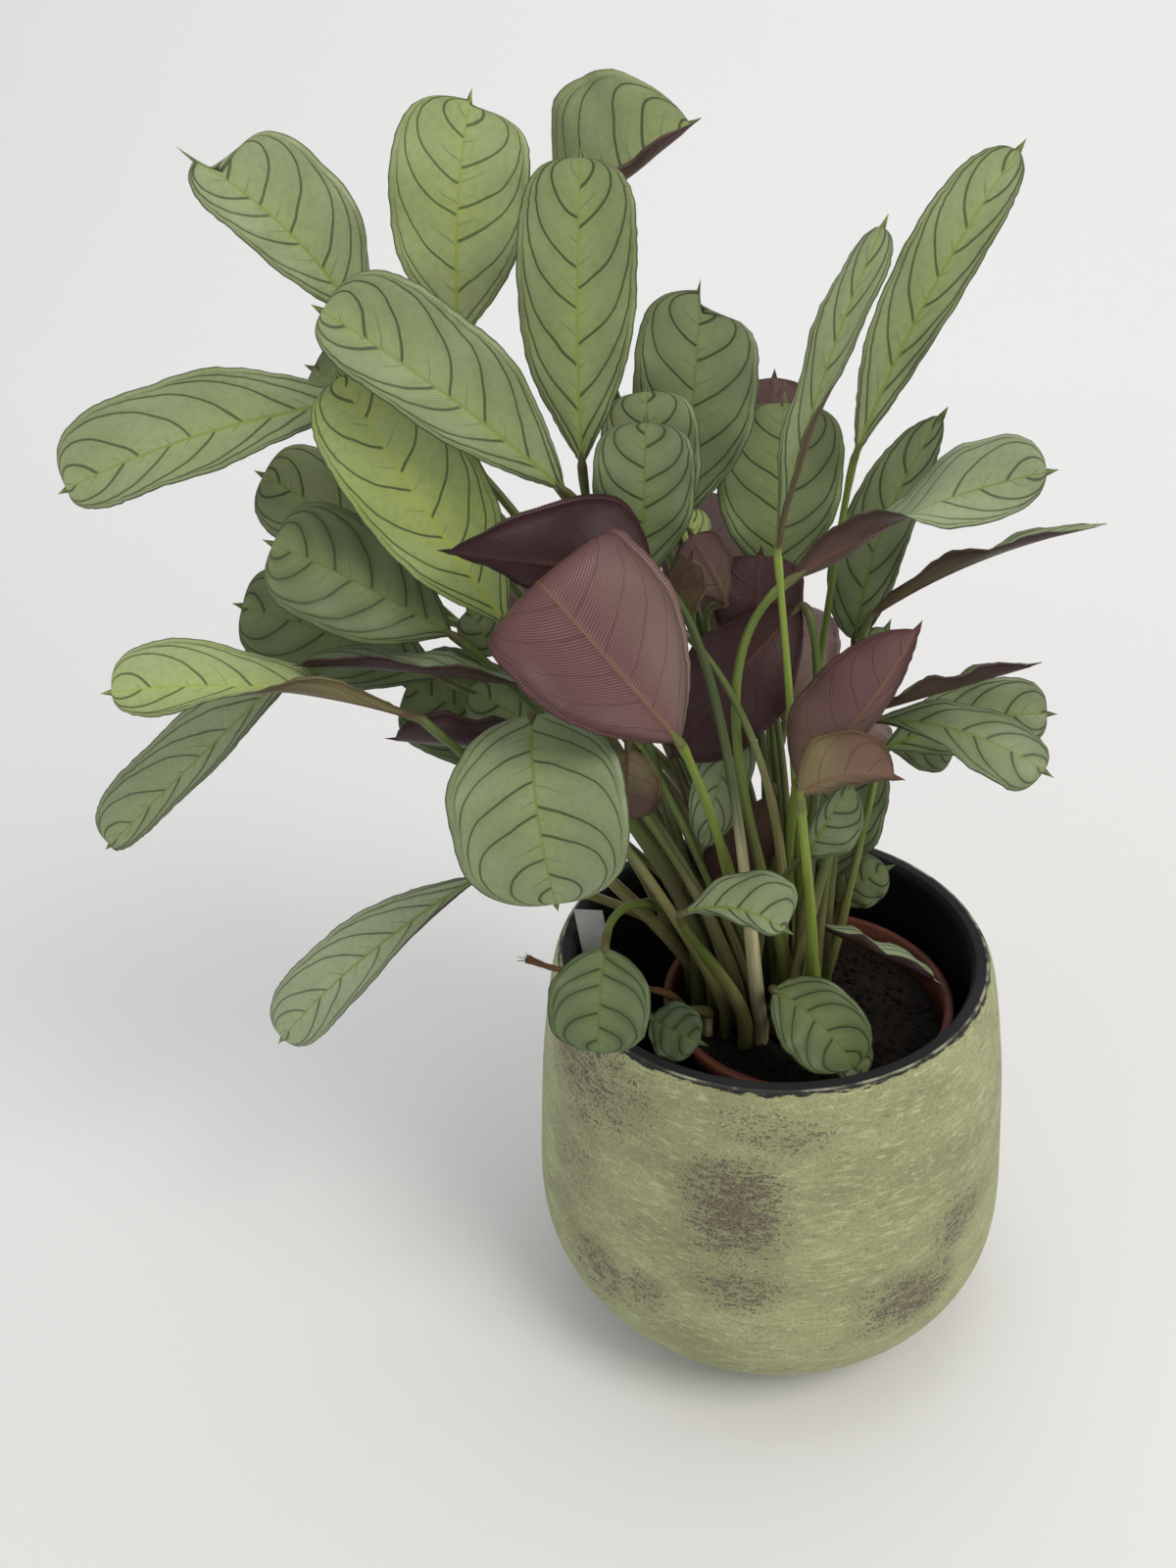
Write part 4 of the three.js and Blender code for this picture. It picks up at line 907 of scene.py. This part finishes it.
def blade_top(fishbone):
    material, w, surface = new_material("leaf_top", 0.42)
    inputs, (youth, pale, _) = blade_inputs(w)
    veins = w.group(fishbone, inputs)
    spot = w.spot()
    blotch = w.noise(spot, 38.0, 3.0)
    mottle = w.noise(spot, 420.0)
    near_rib = w.step(w.size_of(inputs["Across"]), 0.0, 0.55, 1, 0)
    rib = w.mix(youth, w.mix(pale, "4a5e2c", "7d9148"), "98ab48")
    base = w.mix(pale, "3d4c2d", "98a581")
    base = w.wash(base, youth, 0.75, "9bad54")
    base = w.wash(base, near_rib, w.scaled(youth, 0.3, 0.08), "a9b85c")
    base = w.veil(base, blotch, 0.35, 0.7, 0.25, w.mix(pale, "5d6e49", "b3bda0"))
    base = w.veil(base, mottle, 0.4, 0.7, 0.16, "4b5b38")
    for share, strength, tint in (
        (veins["Panel"], 0.1, "a6b38f"), (veins["Fine"], 0.08, "4d5f3a"), (veins["Faint"], 0.4, "3d502b"),
        (veins["Stripe"], w.scaled(pale, -0.22, 0.92), "2b3b1c"), (veins["Midrib"], 0.85, rib),
        (veins["Margin"], 0.8, "2b3820"),
    ):
        base = w.wash(base, share, strength, tint)
    height = w.scaled(veins["Stripe"], -0.6, w.times(veins["Fine"], 0.15))
    height = w.scaled(veins["Panel"], 0.4, height)
    dress(w, surface, base, w.step(blotch, 0.2, 0.8, 0.38, 0.5), (height, 0.35, 0.6))
    return material


def blade_under(fishbone):
    material, w, surface = new_material("leaf_under", 0.35)
    inputs, (youth, _, pale) = blade_inputs(w)
    along, across = inputs["Along"], inputs["Across"]
    veins = w.group(fishbone, {**inputs, "Stripe Width": 0.35})
    blotch = w.noise(w.spot(), 34.0, 3.0, 0.6)
    to_margin = w.step(w.size_of(across), 0.35, 1.0)
    # Painted sheen: the underside is lighter on one side of the midrib toward the neck, as if it reflected
    # the light, more so on paler undersides
    painted_sheen = w.times(w.step(across, 0.1, -0.8), w.step(along, 0.95, 0.2))
    toward_neck = w.step(along, 0.75, 0.2)
    base = w.mix(pale, "270a12", "5c3640")
    base = w.veil(base, blotch, 0.35, 0.7, 0.5, w.mix(pale, "35131c", "6c4c4a"))
    for share, strength, tint in (
        (to_margin, 0.5, w.mix(pale, "2c0d16", "4a232c")), (painted_sheen, w.times(pale, 0.7), "86796a"),
        (toward_neck, w.times(youth, 0.9), "7c8048"), (youth, 0.45, "6b5c36"),
        (veins["Fine"], w.scaled(pale, 0.4, 0.12), "93716a"), (veins["Stripe"], 0.3, "351820"),
        (veins["Midrib"], 0.8, w.mix(pale, "4c2a24", "85634a")), (veins["Margin"], 0.5, "33221f"),
    ):
        base = w.wash(base, share, strength, tint)
    height = w.scaled(veins["Stripe"], 0.5, w.times(veins["Fine"], 0.5))
    dress(w, surface, base, w.step(blotch, 0.2, 0.8, 0.34, 0.48), (height, 0.3, 0.8))
    return material


def stalk_skin():
    material, w, surface = new_material("leaf_stalk", 0.45)
    share, turn, seed = w.data("place")
    length = w.data("size")[0]
    green, cream, _ = w.data("tone")
    own = w.line_noise(w.times(seed, 9.7))
    other = w.line_noise(w.scaled(seed, 4.3, 11.0))
    streaks = w.noise(w.joined(w.times(turn, 14.0), w.times(share, 5.0), seed), 1.0, 3.0)
    pale = w.mix(w.step(own, 0.3, 0.7), "4d4d2a", "7f7748")
    pale = w.mix(w.step(other, 0.55, 0.75), pale, "4d3d28")
    pale = w.mix(cream, pale, "d0c99e")
    # Painted shade: the sheath darkens toward the stalk's foot at the soil, where the stalks crowd, less on
    # green and cream stalks
    painted_foot_shade = w.scaled(w.math("MAXIMUM", green, cream), -0.4, 0.85)
    pale = w.veil(pale, share, 0.3, 0.08, painted_foot_shade, "211f12")
    sheath_end = w.step(own, 0.0, 1.0, 0.3, 0.75)
    bare = w.step(share, w.minus(sheath_end, 0.12), w.plus(sheath_end, 0.1))
    fresh = w.math("MAXIMUM", bare, w.times(green, 0.85))
    base = w.mix(fresh, pale, w.mix(green, "435229", "869c3f"))
    base = w.veil(base, streaks, 0.35, 0.75, 0.45, "3c4120")
    to_neck = w.times(w.minus(1, share), length)
    knee = w.step(to_neck, PULVINUS_LENGTH - 2, PULVINUS_LENGTH + 2, 1, 0)
    base = w.wash(base, knee, 0.75, w.mix(green, "463523", "5a5a2c"))
    dress(w, surface, base, w.step(streaks, 0.2, 0.8, 0.38, 0.55), (streaks, 0.4, 0.6))
    return material


# Weathering: streaks brushed round a turned piece, with grain and clouds
def brushed_group():
    inputs = {"Streak Scale": 30.0, "Stretch": 9.0, "Grain Scale": 900.0}
    tree, w, given, result = new_group("Brushed Weathering", inputs, ("Streaks", "Grain", "Clouds"))
    x, y, z = w.parts(w.spot())
    plain = w.joined(x, y, z)
    lifted = w.joined(x, y, w.times(z, given["Stretch"]))
    w.plug(result["Streaks"], w.noise(lifted, given["Streak Scale"], 6.0, 0.62))
    w.plug(result["Grain"], w.noise(plain, given["Grain Scale"]))
    w.plug(result["Clouds"], w.noise(plain, w.times(given["Streak Scale"], 0.4), 4.0, 0.6))
    return tree


# Share of the taupe stain at each place: the strongest of the patches, ragged by the brushed streaks
def taupe_stain(w, spot, coat):
    stained = w.step(coat["Clouds"], 0.45, 0.75, 0, 0.22)
    for place, size, strength in TAUPE_PATCHES:
        parts = [w.over(w.minus(axis, value * MM), extent * MM)
                 for axis, value, extent in zip(spot, place, size)]
        squares = [w.times(part, part) for part in parts]
        away = w.math("SQRT", w.plus(w.plus(squares[0], squares[1]), squares[2]))
        ragged = w.scaled(w.minus(coat["Streaks"], 0.5), 1.4, away)
        stained = w.math("MAXIMUM", stained, w.step(ragged, 1.5, 0.1, 0, strength))
    return stained


# Cover pot: weathered glaze outside, charcoal rim and inside
def pot_glaze(brushed):
    material, w, surface = new_material("weathered_glaze", 0.35)
    x, y, z = w.parts(w.spot())
    coat = w.group(brushed, {"Streak Scale": 26.0, "Stretch": 2.2, "Grain Scale": 900.0})
    fine = w.group(brushed, {"Streak Scale": 150.0, "Stretch": 4.5, "Grain Scale": 1700.0})
    base = w.mix(w.step(coat["Streaks"], 0.3, 0.7), "878a64", "9fa377")
    for value, low, high, strength, tint in (
        (coat["Clouds"], 0.4, 0.65, 0.5, "a4ab7c"), (coat["Grain"], 0.48, 0.62, 0.4, "74755a"),
        (fine["Streaks"], 0.55, 0.62, 0.6, "b9bf92"), (fine["Streaks"], 0.4, 0.34, 0.55, "66664a"),
        (fine["Grain"], 0.42, 0.34, 0.4, "c2c6a0"),
    ):
        base = w.veil(base, value, low, high, strength, tint)
    stained = taupe_stain(w, (x, y, z), coat)
    fleck = w.scaled(fine["Streaks"], 0.6, w.times(coat["Grain"], 0.4))
    showing = w.step(w.scaled(stained, 0.2, fleck), 0.585, 0.7)
    taupe = w.mix(w.step(fine["Grain"], 0.35, 0.65), "464134", "7d7662")
    base = w.wash(base, stained, 0.5, "77725a")
    base = w.wash(base, showing, w.step(stained, 0.05, 0.4), taupe)
    above_band = w.minus(z, FOOT_BAND * MM)
    base = w.wash(base, w.step(above_band, -BAND_EDGE * MM, BAND_EDGE * MM, 1, 0), 0.55, "87865f")
    base = w.mix(w.step(w.size_of(above_band), BAND_LINE * MM, BAND_EDGE * MM, 0.3, 0), base, "b4b78e")
    ragged = w.scaled(w.minus(fine["Streaks"], 0.5), 0.006, z)
    at_rim = w.step(ragged, (RIM_BAND - RIM_BAND_EDGE) * MM, (RIM_BAND + RIM_BAND_EDGE) * MM)
    base = w.mix(at_rim, base, "17181b")
    rough = w.scaled(fine["Streaks"], 0.8, w.times(coat["Grain"], 0.6))
    dress(w, surface, base, w.step(coat["Streaks"], 0.3, 0.7, 0.68, 0.55), (rough, 0.6, 0.6))
    return material


def pot_charcoal(brushed):
    material, w, surface = new_material("charcoal_bisque", 0.3)
    radius, height, _ = w.data("size")
    coat = w.group(brushed, {"Streak Scale": 60.0, "Stretch": 3.0, "Grain Scale": 1800.0})
    base = w.mix(w.step(coat["Clouds"], 0.3, 0.7), "121316", "202125")
    scraped = w.step(w.size_of(w.minus(radius, SCRAPED_RADIUS)), 0.25, 0.8, 1, 0)
    at_rim = w.times(scraped, w.step(height, 177.5, 178.5))
    worn = w.times(at_rim, w.step(coat["Streaks"], 0.4, 0.56, 0.1, 1))
    dress(w, surface, w.wash(base, worn, 0.75, "a9ab95"), 0.82, (coat["Grain"], 0.3, 0.5))
    return material


def build_cover_pot(brushed):
    outside = rounded_profile(POT_OUTSIDE, POT_ROUNDING)
    rim = rounded_profile([POT_OUTSIDE[-1], POT_INSIDE[0]], 1)
    inside = rounded_profile(POT_INSIDE, POT_ROUNDING)
    profile = np.concatenate([[(0, 0)], outside, rim[1:-1], inside, [(0, POT_INSIDE[-1][1])]])
    skin = Skin()
    add_turned(skin, profile, POT_TURN_STEPS, len(outside) - RIM_ROWS, wobble=POT_WOBBLE)
    piece = skin.make("pot_weathered_ceramic", [pot_glaze(brushed), pot_charcoal(brushed)])
    finish_piece(piece, "cover_pot")


# Growing pot
def growing_plastic():
    material, w, surface = new_material("terracotta_plastic", 0.4)
    spot = w.spot()
    dust = w.noise(spot, 140.0, 4.0, 0.65)
    base = w.mix(w.step(w.noise(spot, 45.0, 3.0), 0.3, 0.7), "4f2a20", "69392b")
    base = w.veil(base, dust, 0.52, 0.75, 0.55, "2c211b")
    dress(w, surface, base, w.step(dust, 0.3, 0.7, 0.45, 0.65), (dust, 0.3, 0.5))
    return material


def build_growing_pot():
    profile = np.array(GROWING_PROFILE, float)
    skin = Skin()
    add_turned(skin, profile, POT_TURN_STEPS, len(profile), GROWING_CENTRE, GROWING_BOTTOM)
    piece = skin.make("growing_pot_plastic", [growing_plastic()])
    finish_piece(piece, "nursery_pot")


# Soil: one closed body with relief, crumbs and fibres sunk into it
def soil_peat():
    material, w, surface = new_material("peat", 0.25)
    spot = w.spot()
    grain = w.noise(spot, 700.0, 4.0, 0.7)
    base = w.mix(w.step(grain, 0.35, 0.7), "070504", "1f1811")
    base = w.veil(base, w.noise(spot, 160.0, 3.0), 0.58, 0.78, 0.5, "33261b")
    dress(w, surface, base, 0.92, (grain, 1.2, 0.8))
    return material


def soil_height(x, y):
    radius = np.hypot(x - GROWING_CENTRE[0], y - GROWING_CENTRE[1])
    broad = noise.noise(Vector((x * 0.11, y * 0.11, 3.1)))
    small = noise.noise(Vector((x * 0.31, y * 0.31, 7.7)))
    sunk = SOIL_SINK + SOIL_DOME * (radius / SOIL_RADIUS) ** 2
    return SOIL_TOP - sunk + SOIL_RELIEF * 0.55 * (broad + 0.5 * small)


def add_soil_body(skin):
    angles = 2 * np.pi * np.arange(SOIL_TURN_STEPS) / SOIL_TURN_STEPS
    radii = SOIL_RADIUS * np.concatenate([[MIDDLE_HOLE], np.linspace(0.03, 1, SOIL_RINGS)])
    x = GROWING_CENTRE[0] + radii[:, None] * np.cos(angles)
    y = GROWING_CENTRE[1] + radii[:, None] * np.sin(angles)
    top = np.stack([x, y, np.vectorize(soil_height)(x, y)], axis=-1)
    shrink = (SOIL_BOTTOM_RADIUS - 0.3) / SOIL_RADIUS
    centre = np.array([*GROWING_CENTRE, 0])
    rim = centre + (top[-1:] - centre) * [shrink, shrink, 0] + [0, 0, SOIL_BOTTOM]
    middle = centre + (rim - centre) * [MIDDLE_HOLE, MIDDLE_HOLE, 1]
    grid = np.concatenate([top, rim, middle])
    add_wrapped(skin, grid, np.linspace(0, 1, len(grid))[:, None])


# A closed band of points as its own patch of faces, each row at its share along the piece
def add_wrapped(skin, grid, share, seed=0, on_map=None, smooth_shaded=True):
    index = wrapped(skin.add_points(grid))
    turn = np.linspace(0, 1, grid.shape[1] + 1)[None, :]
    place = stack3(share, turn, seed)
    spot = map_patch(*WHOLE_MAP, turn, share if on_map is None else on_map)
    skin.add_faces(index, place, place, spot, 0, smooth_shaded=smooth_shaded)


def add_crumb(skin, centre, radii, seed):
    polar = np.linspace(CRUMB_HOLE, np.pi - CRUMB_HOLE, CRUMB_RINGS)[:, None]
    angles = (2 * np.pi * np.arange(CRUMB_SIDES) / CRUMB_SIDES)[None, :]
    ball = stack3(np.sin(polar) * np.cos(angles), np.sin(polar) * np.sin(angles), np.cos(polar))
    lumps = 1 + 0.3 * np.sin(5 * ball[..., :1] + seed) * np.cos(4 * ball[..., 1:2] + 2 * seed)
    add_wrapped(skin, centre + ball * lumps * radii, polar, seed, polar / np.pi)


def soil_spots(chance, count):
    angle = chance.uniform(0, 2 * np.pi, count)
    radius = (SOIL_RADIUS - 2.2) * np.sqrt(chance.uniform(0.0, 1, count))
    return GROWING_CENTRE + np.stack([radius * np.cos(angle), radius * np.sin(angle)], axis=1)


def add_fibre(skin, chance, spot, number):
    heading = chance.uniform(0, 2 * np.pi)
    reach = chance.uniform(*FIBRE_LENGTHS) * np.array([np.cos(heading), np.sin(heading)])
    centre = np.array(GROWING_CENTRE)
    s = np.linspace(-1, 1, 7)[:, None]
    way = spot * 0.96 + 0.04 * centre + s * reach * 0.5
    way = way + np.sin(3 * s + number) * reach[::-1] * 0.12
    outside = np.maximum(np.hypot(*(way - centre).T), 1)
    inside = centre + (way - centre) * np.minimum(1, (SOIL_RADIUS - 1) / outside)[:, None]
    height = np.array([min(soil_height(*point), SOIL_TOP) + 0.5 for point in inside])[:, None]
    points = np.hstack([inside, height])
    add_tube(skin, points, np.full(7, FIBRE_RADIUS), 6, number, (0, 0, 0), *WHOLE_MAP, 0)


def build_soil():
    chance = np.random.default_rng(SOIL_SEED)
    skin = Skin()
    add_soil_body(skin)
    for number, (x, y) in enumerate(soil_spots(chance, CRUMBS)):
        size = chance.uniform(*CRUMB_SIZES)
        radii = size * chance.uniform(0.7, 1.2, 3)
        height = min(soil_height(x, y), SOIL_TOP - 0.6 - radii[2] * 0.6)
        add_crumb(skin, np.array([x, y, height]), radii, number)
    for number, spot in enumerate(soil_spots(chance, FIBRES)):
        add_fibre(skin, chance, spot, number)
    finish_piece(skin.make("soil_peat", [soil_peat()]), "soil")


# Plant label and dry stub
def label_plastic():
    material, w, surface = new_material("label_plastic", 0.45)
    stain = w.noise(w.spot(), 60.0, 4.0, 0.6)
    dress(w, surface, w.mix(w.step(stain, 0.4, 0.75, 0, 0.7), "a9adab", "85837a"), 0.5, (stain, 0.2, 0.3))
    return material


def build_label():
    foot, top = np.array(LABEL_FOOT, float), np.array(LABEL_TOP, float)
    share = np.concatenate([[0, LABEL_SHOULDER], np.linspace(LABEL_SHOULDER, 1, LABEL_ROWS)[1:]])[:, None]
    widening = (LABEL_HALF_WIDTH - LABEL_POINT_HALF_WIDTH) * np.minimum(share / LABEL_SHOULDER, 1)
    across, front = np.array(LABEL_SECTION).T
    half = LABEL_POINT_HALF_WIDTH + widening
    grid = foot + (top - foot) * share[..., None] + stack3(across * half, front * LABEL_HALF_THICKNESS, 0)
    ends = [edge.mean(axis=0) + (edge - edge.mean(axis=0)) * END_HOLE for edge in (grid[0], grid[-1])]
    skin = Skin()
    along = np.concatenate([[[0]], share, [[1]]])
    add_wrapped(skin, np.concatenate([ends[:1], grid, ends[1:]]), along, smooth_shaded=False)
    finish_piece(skin.make("label_strip", [label_plastic()]), "plant_label")


def dry_fibre():
    material, w, surface = new_material("dry_stalk", 0.25)
    share, turn, seed = w.data("place")
    strands = w.noise(w.joined(w.times(turn, 22.0), w.times(share, 9.0), seed), 1.0, 4.0, 0.7)
    base = w.mix(w.step(strands, 0.3, 0.7), "3a2717", "8c6c48")
    base = w.veil(base, share, 0.86, 1.0, 0.5, "3f2f22")
    dress(w, surface, base, 0.85, (strands, 0.8, 0.9))
    return material


def curve_through(points, count):
    points = np.array(points, float)
    ends = np.concatenate([[2 * points[0] - points[1]], points, [2 * points[-1] - points[-2]]])
    found = []
    for s in np.linspace(0, len(points) - 1, count):
        k = min(int(s), len(points) - 2)
        a, b, c, d = ends[k:k + 4]
        u = s - k
        bowed = (2 * a - 5 * b + 4 * c - d) * u**2 + (3 * b - a - 3 * c + d) * u**3
        found.append(0.5 * (2 * b + (c - a) * u + bowed))
    return np.array(found)


def build_stub():
    skin = Skin()
    points = curve_through(STUB_WAY, STUB_ROWS)
    share = np.linspace(0, 1, STUB_ROWS)
    radii = np.interp(share, np.linspace(0, 1, len(STUB_RADII)), STUB_RADII)
    radii = radii * (1 + 0.08 * np.sin(40 * share) + 0.05 * np.sin(97 * share))
    add_tube(skin, points, radii, 12, 1, (0, 0, 0), (0.01, 0.01), (0.98, 0.6), 0)
    heading = unit(points[-1] - points[-4])
    aside = square_to(np.array([0, 0, 1.0]), heading)
    beside = np.cross(heading, aside)
    s = np.linspace(0, 1, 7)[:, None]
    for number in range(FRAYED_STRANDS):
        angle = number * GOLDEN_ANGLE
        spread = np.cos(angle) * aside + np.sin(angle) * beside
        reach = FRAYED_REACH * (0.6 + 0.4 * np.sin(number * 2.1))
        way = points[-3] + spread * 0.7 + s * heading * reach + spread * (s**2) * 1.6
        thick = FRAYED_RADIUS * (1 - 0.75 * s[:, 0])
        add_tube(skin, way, thick, 6, number, (0, 0, 0), (0.01, 0.64), (0.98, 0.34), 0)
    finish_piece(skin.make("stub_dry", [dry_fibre()]), "dried_stub")


# Studio: a pale floor that curves up to a wall, with a painted glow that grows from the front of the floor
# back to the wall
def glowing_studio_paper():
    material, w, surface = new_material("glowing_studio_paper", 0.1)
    depth = w.parts(w.spot())[1]
    dress(w, surface, "dfe0e2", 0.95)
    # Painted light: the paper glows, faintly at the front of the floor and brighter from there back to the
    # wall, to brighten the backdrop
    w.plug(surface["Emission Color"], w.mix(w.step(depth, 0.1, 1.6), "101010", "6a6a6b"))
    w.plug(surface["Emission Strength"], 1.0)
    return material


def build_studio():
    flat = np.linspace(FLOOR_FRONT, SWEEP_START, 12)
    bend = np.radians(np.linspace(0, 90, 25))[1:]
    depth = np.concatenate([flat, SWEEP_START + SWEEP_RADIUS * np.sin(bend), [SWEEP_START + SWEEP_RADIUS]])
    height = np.concatenate([flat * 0, SWEEP_RADIUS * (1 - np.cos(bend)), [WALL_HEIGHT]])
    points = [(x, y, z) for y, z in zip(depth, height) for x in (-WALL_HALF_WIDTH, WALL_HALF_WIDTH)]
    faces = [(2 * k, 2 * k + 1, 2 * k + 3, 2 * k + 2) for k in range(len(depth) - 1)]
    mesh = bpy.data.meshes.new("studio_sweep")
    mesh.from_pydata(points, [], faces)
    mesh.materials.append(glowing_studio_paper())
    mesh.polygons.foreach_set("use_smooth", [True] * len(faces))
    sweep = bpy.data.objects.new("studio_sweep", mesh)
    bpy.context.scene.collection.objects.link(sweep)


def build_lights():
    for name, place, size, power, tint in STUDIO_LIGHTS:
        light = bpy.data.lights.new(name, "AREA")
        light.shape = "DISK"
        light.size = size
        light.energy = power
        light.color = colour(tint)[:3]
        lamp = bpy.data.objects.new(name, light)
        lamp.location = place
        lamp.rotation_euler = (Vector(LIGHT_AIM) - Vector(place)).to_track_quat("-Z", "Y").to_euler()
        bpy.context.scene.collection.objects.link(lamp)
    world = bpy.data.worlds.new("studio_air")
    world.use_nodes = True
    air = world.node_tree.nodes["Background"].inputs
    air["Color"].default_value = colour(AIR_TINT)
    air["Strength"].default_value = AIR_STRENGTH
    bpy.context.scene.world = world


def build_camera():
    bpy.context.scene.view_settings.view_transform = "Standard"
    heading = unit(np.array(CAMERA_HEADING, float))
    level = unit(np.cross(heading, [0, 0, 1]))
    upright = np.cross(level, heading)
    tilt = np.radians(CAMERA_ROLL)
    right = level * np.cos(tilt) + upright * np.sin(tilt)
    above = upright * np.cos(tilt) - level * np.sin(tilt)
    camera = bpy.data.objects.new("camera", bpy.data.cameras.new("camera"))
    camera.data.lens = CAMERA_LENS
    turned = Matrix((right, above, -heading)).transposed().to_4x4()
    camera.matrix_world = Matrix.Translation(Vector(CAMERA_PLACE) * MM) @ turned
    bpy.context.scene.collection.objects.link(camera)
    bpy.context.scene.camera = camera


fishbone = fishbone_group()
brushed = brushed_group()
build_leaves([blade_top(fishbone), blade_under(fishbone), stalk_skin()])
build_cover_pot(brushed)
build_growing_pot()
build_soil()
build_label()
build_stub()
build_studio()
build_lights()
build_camera()
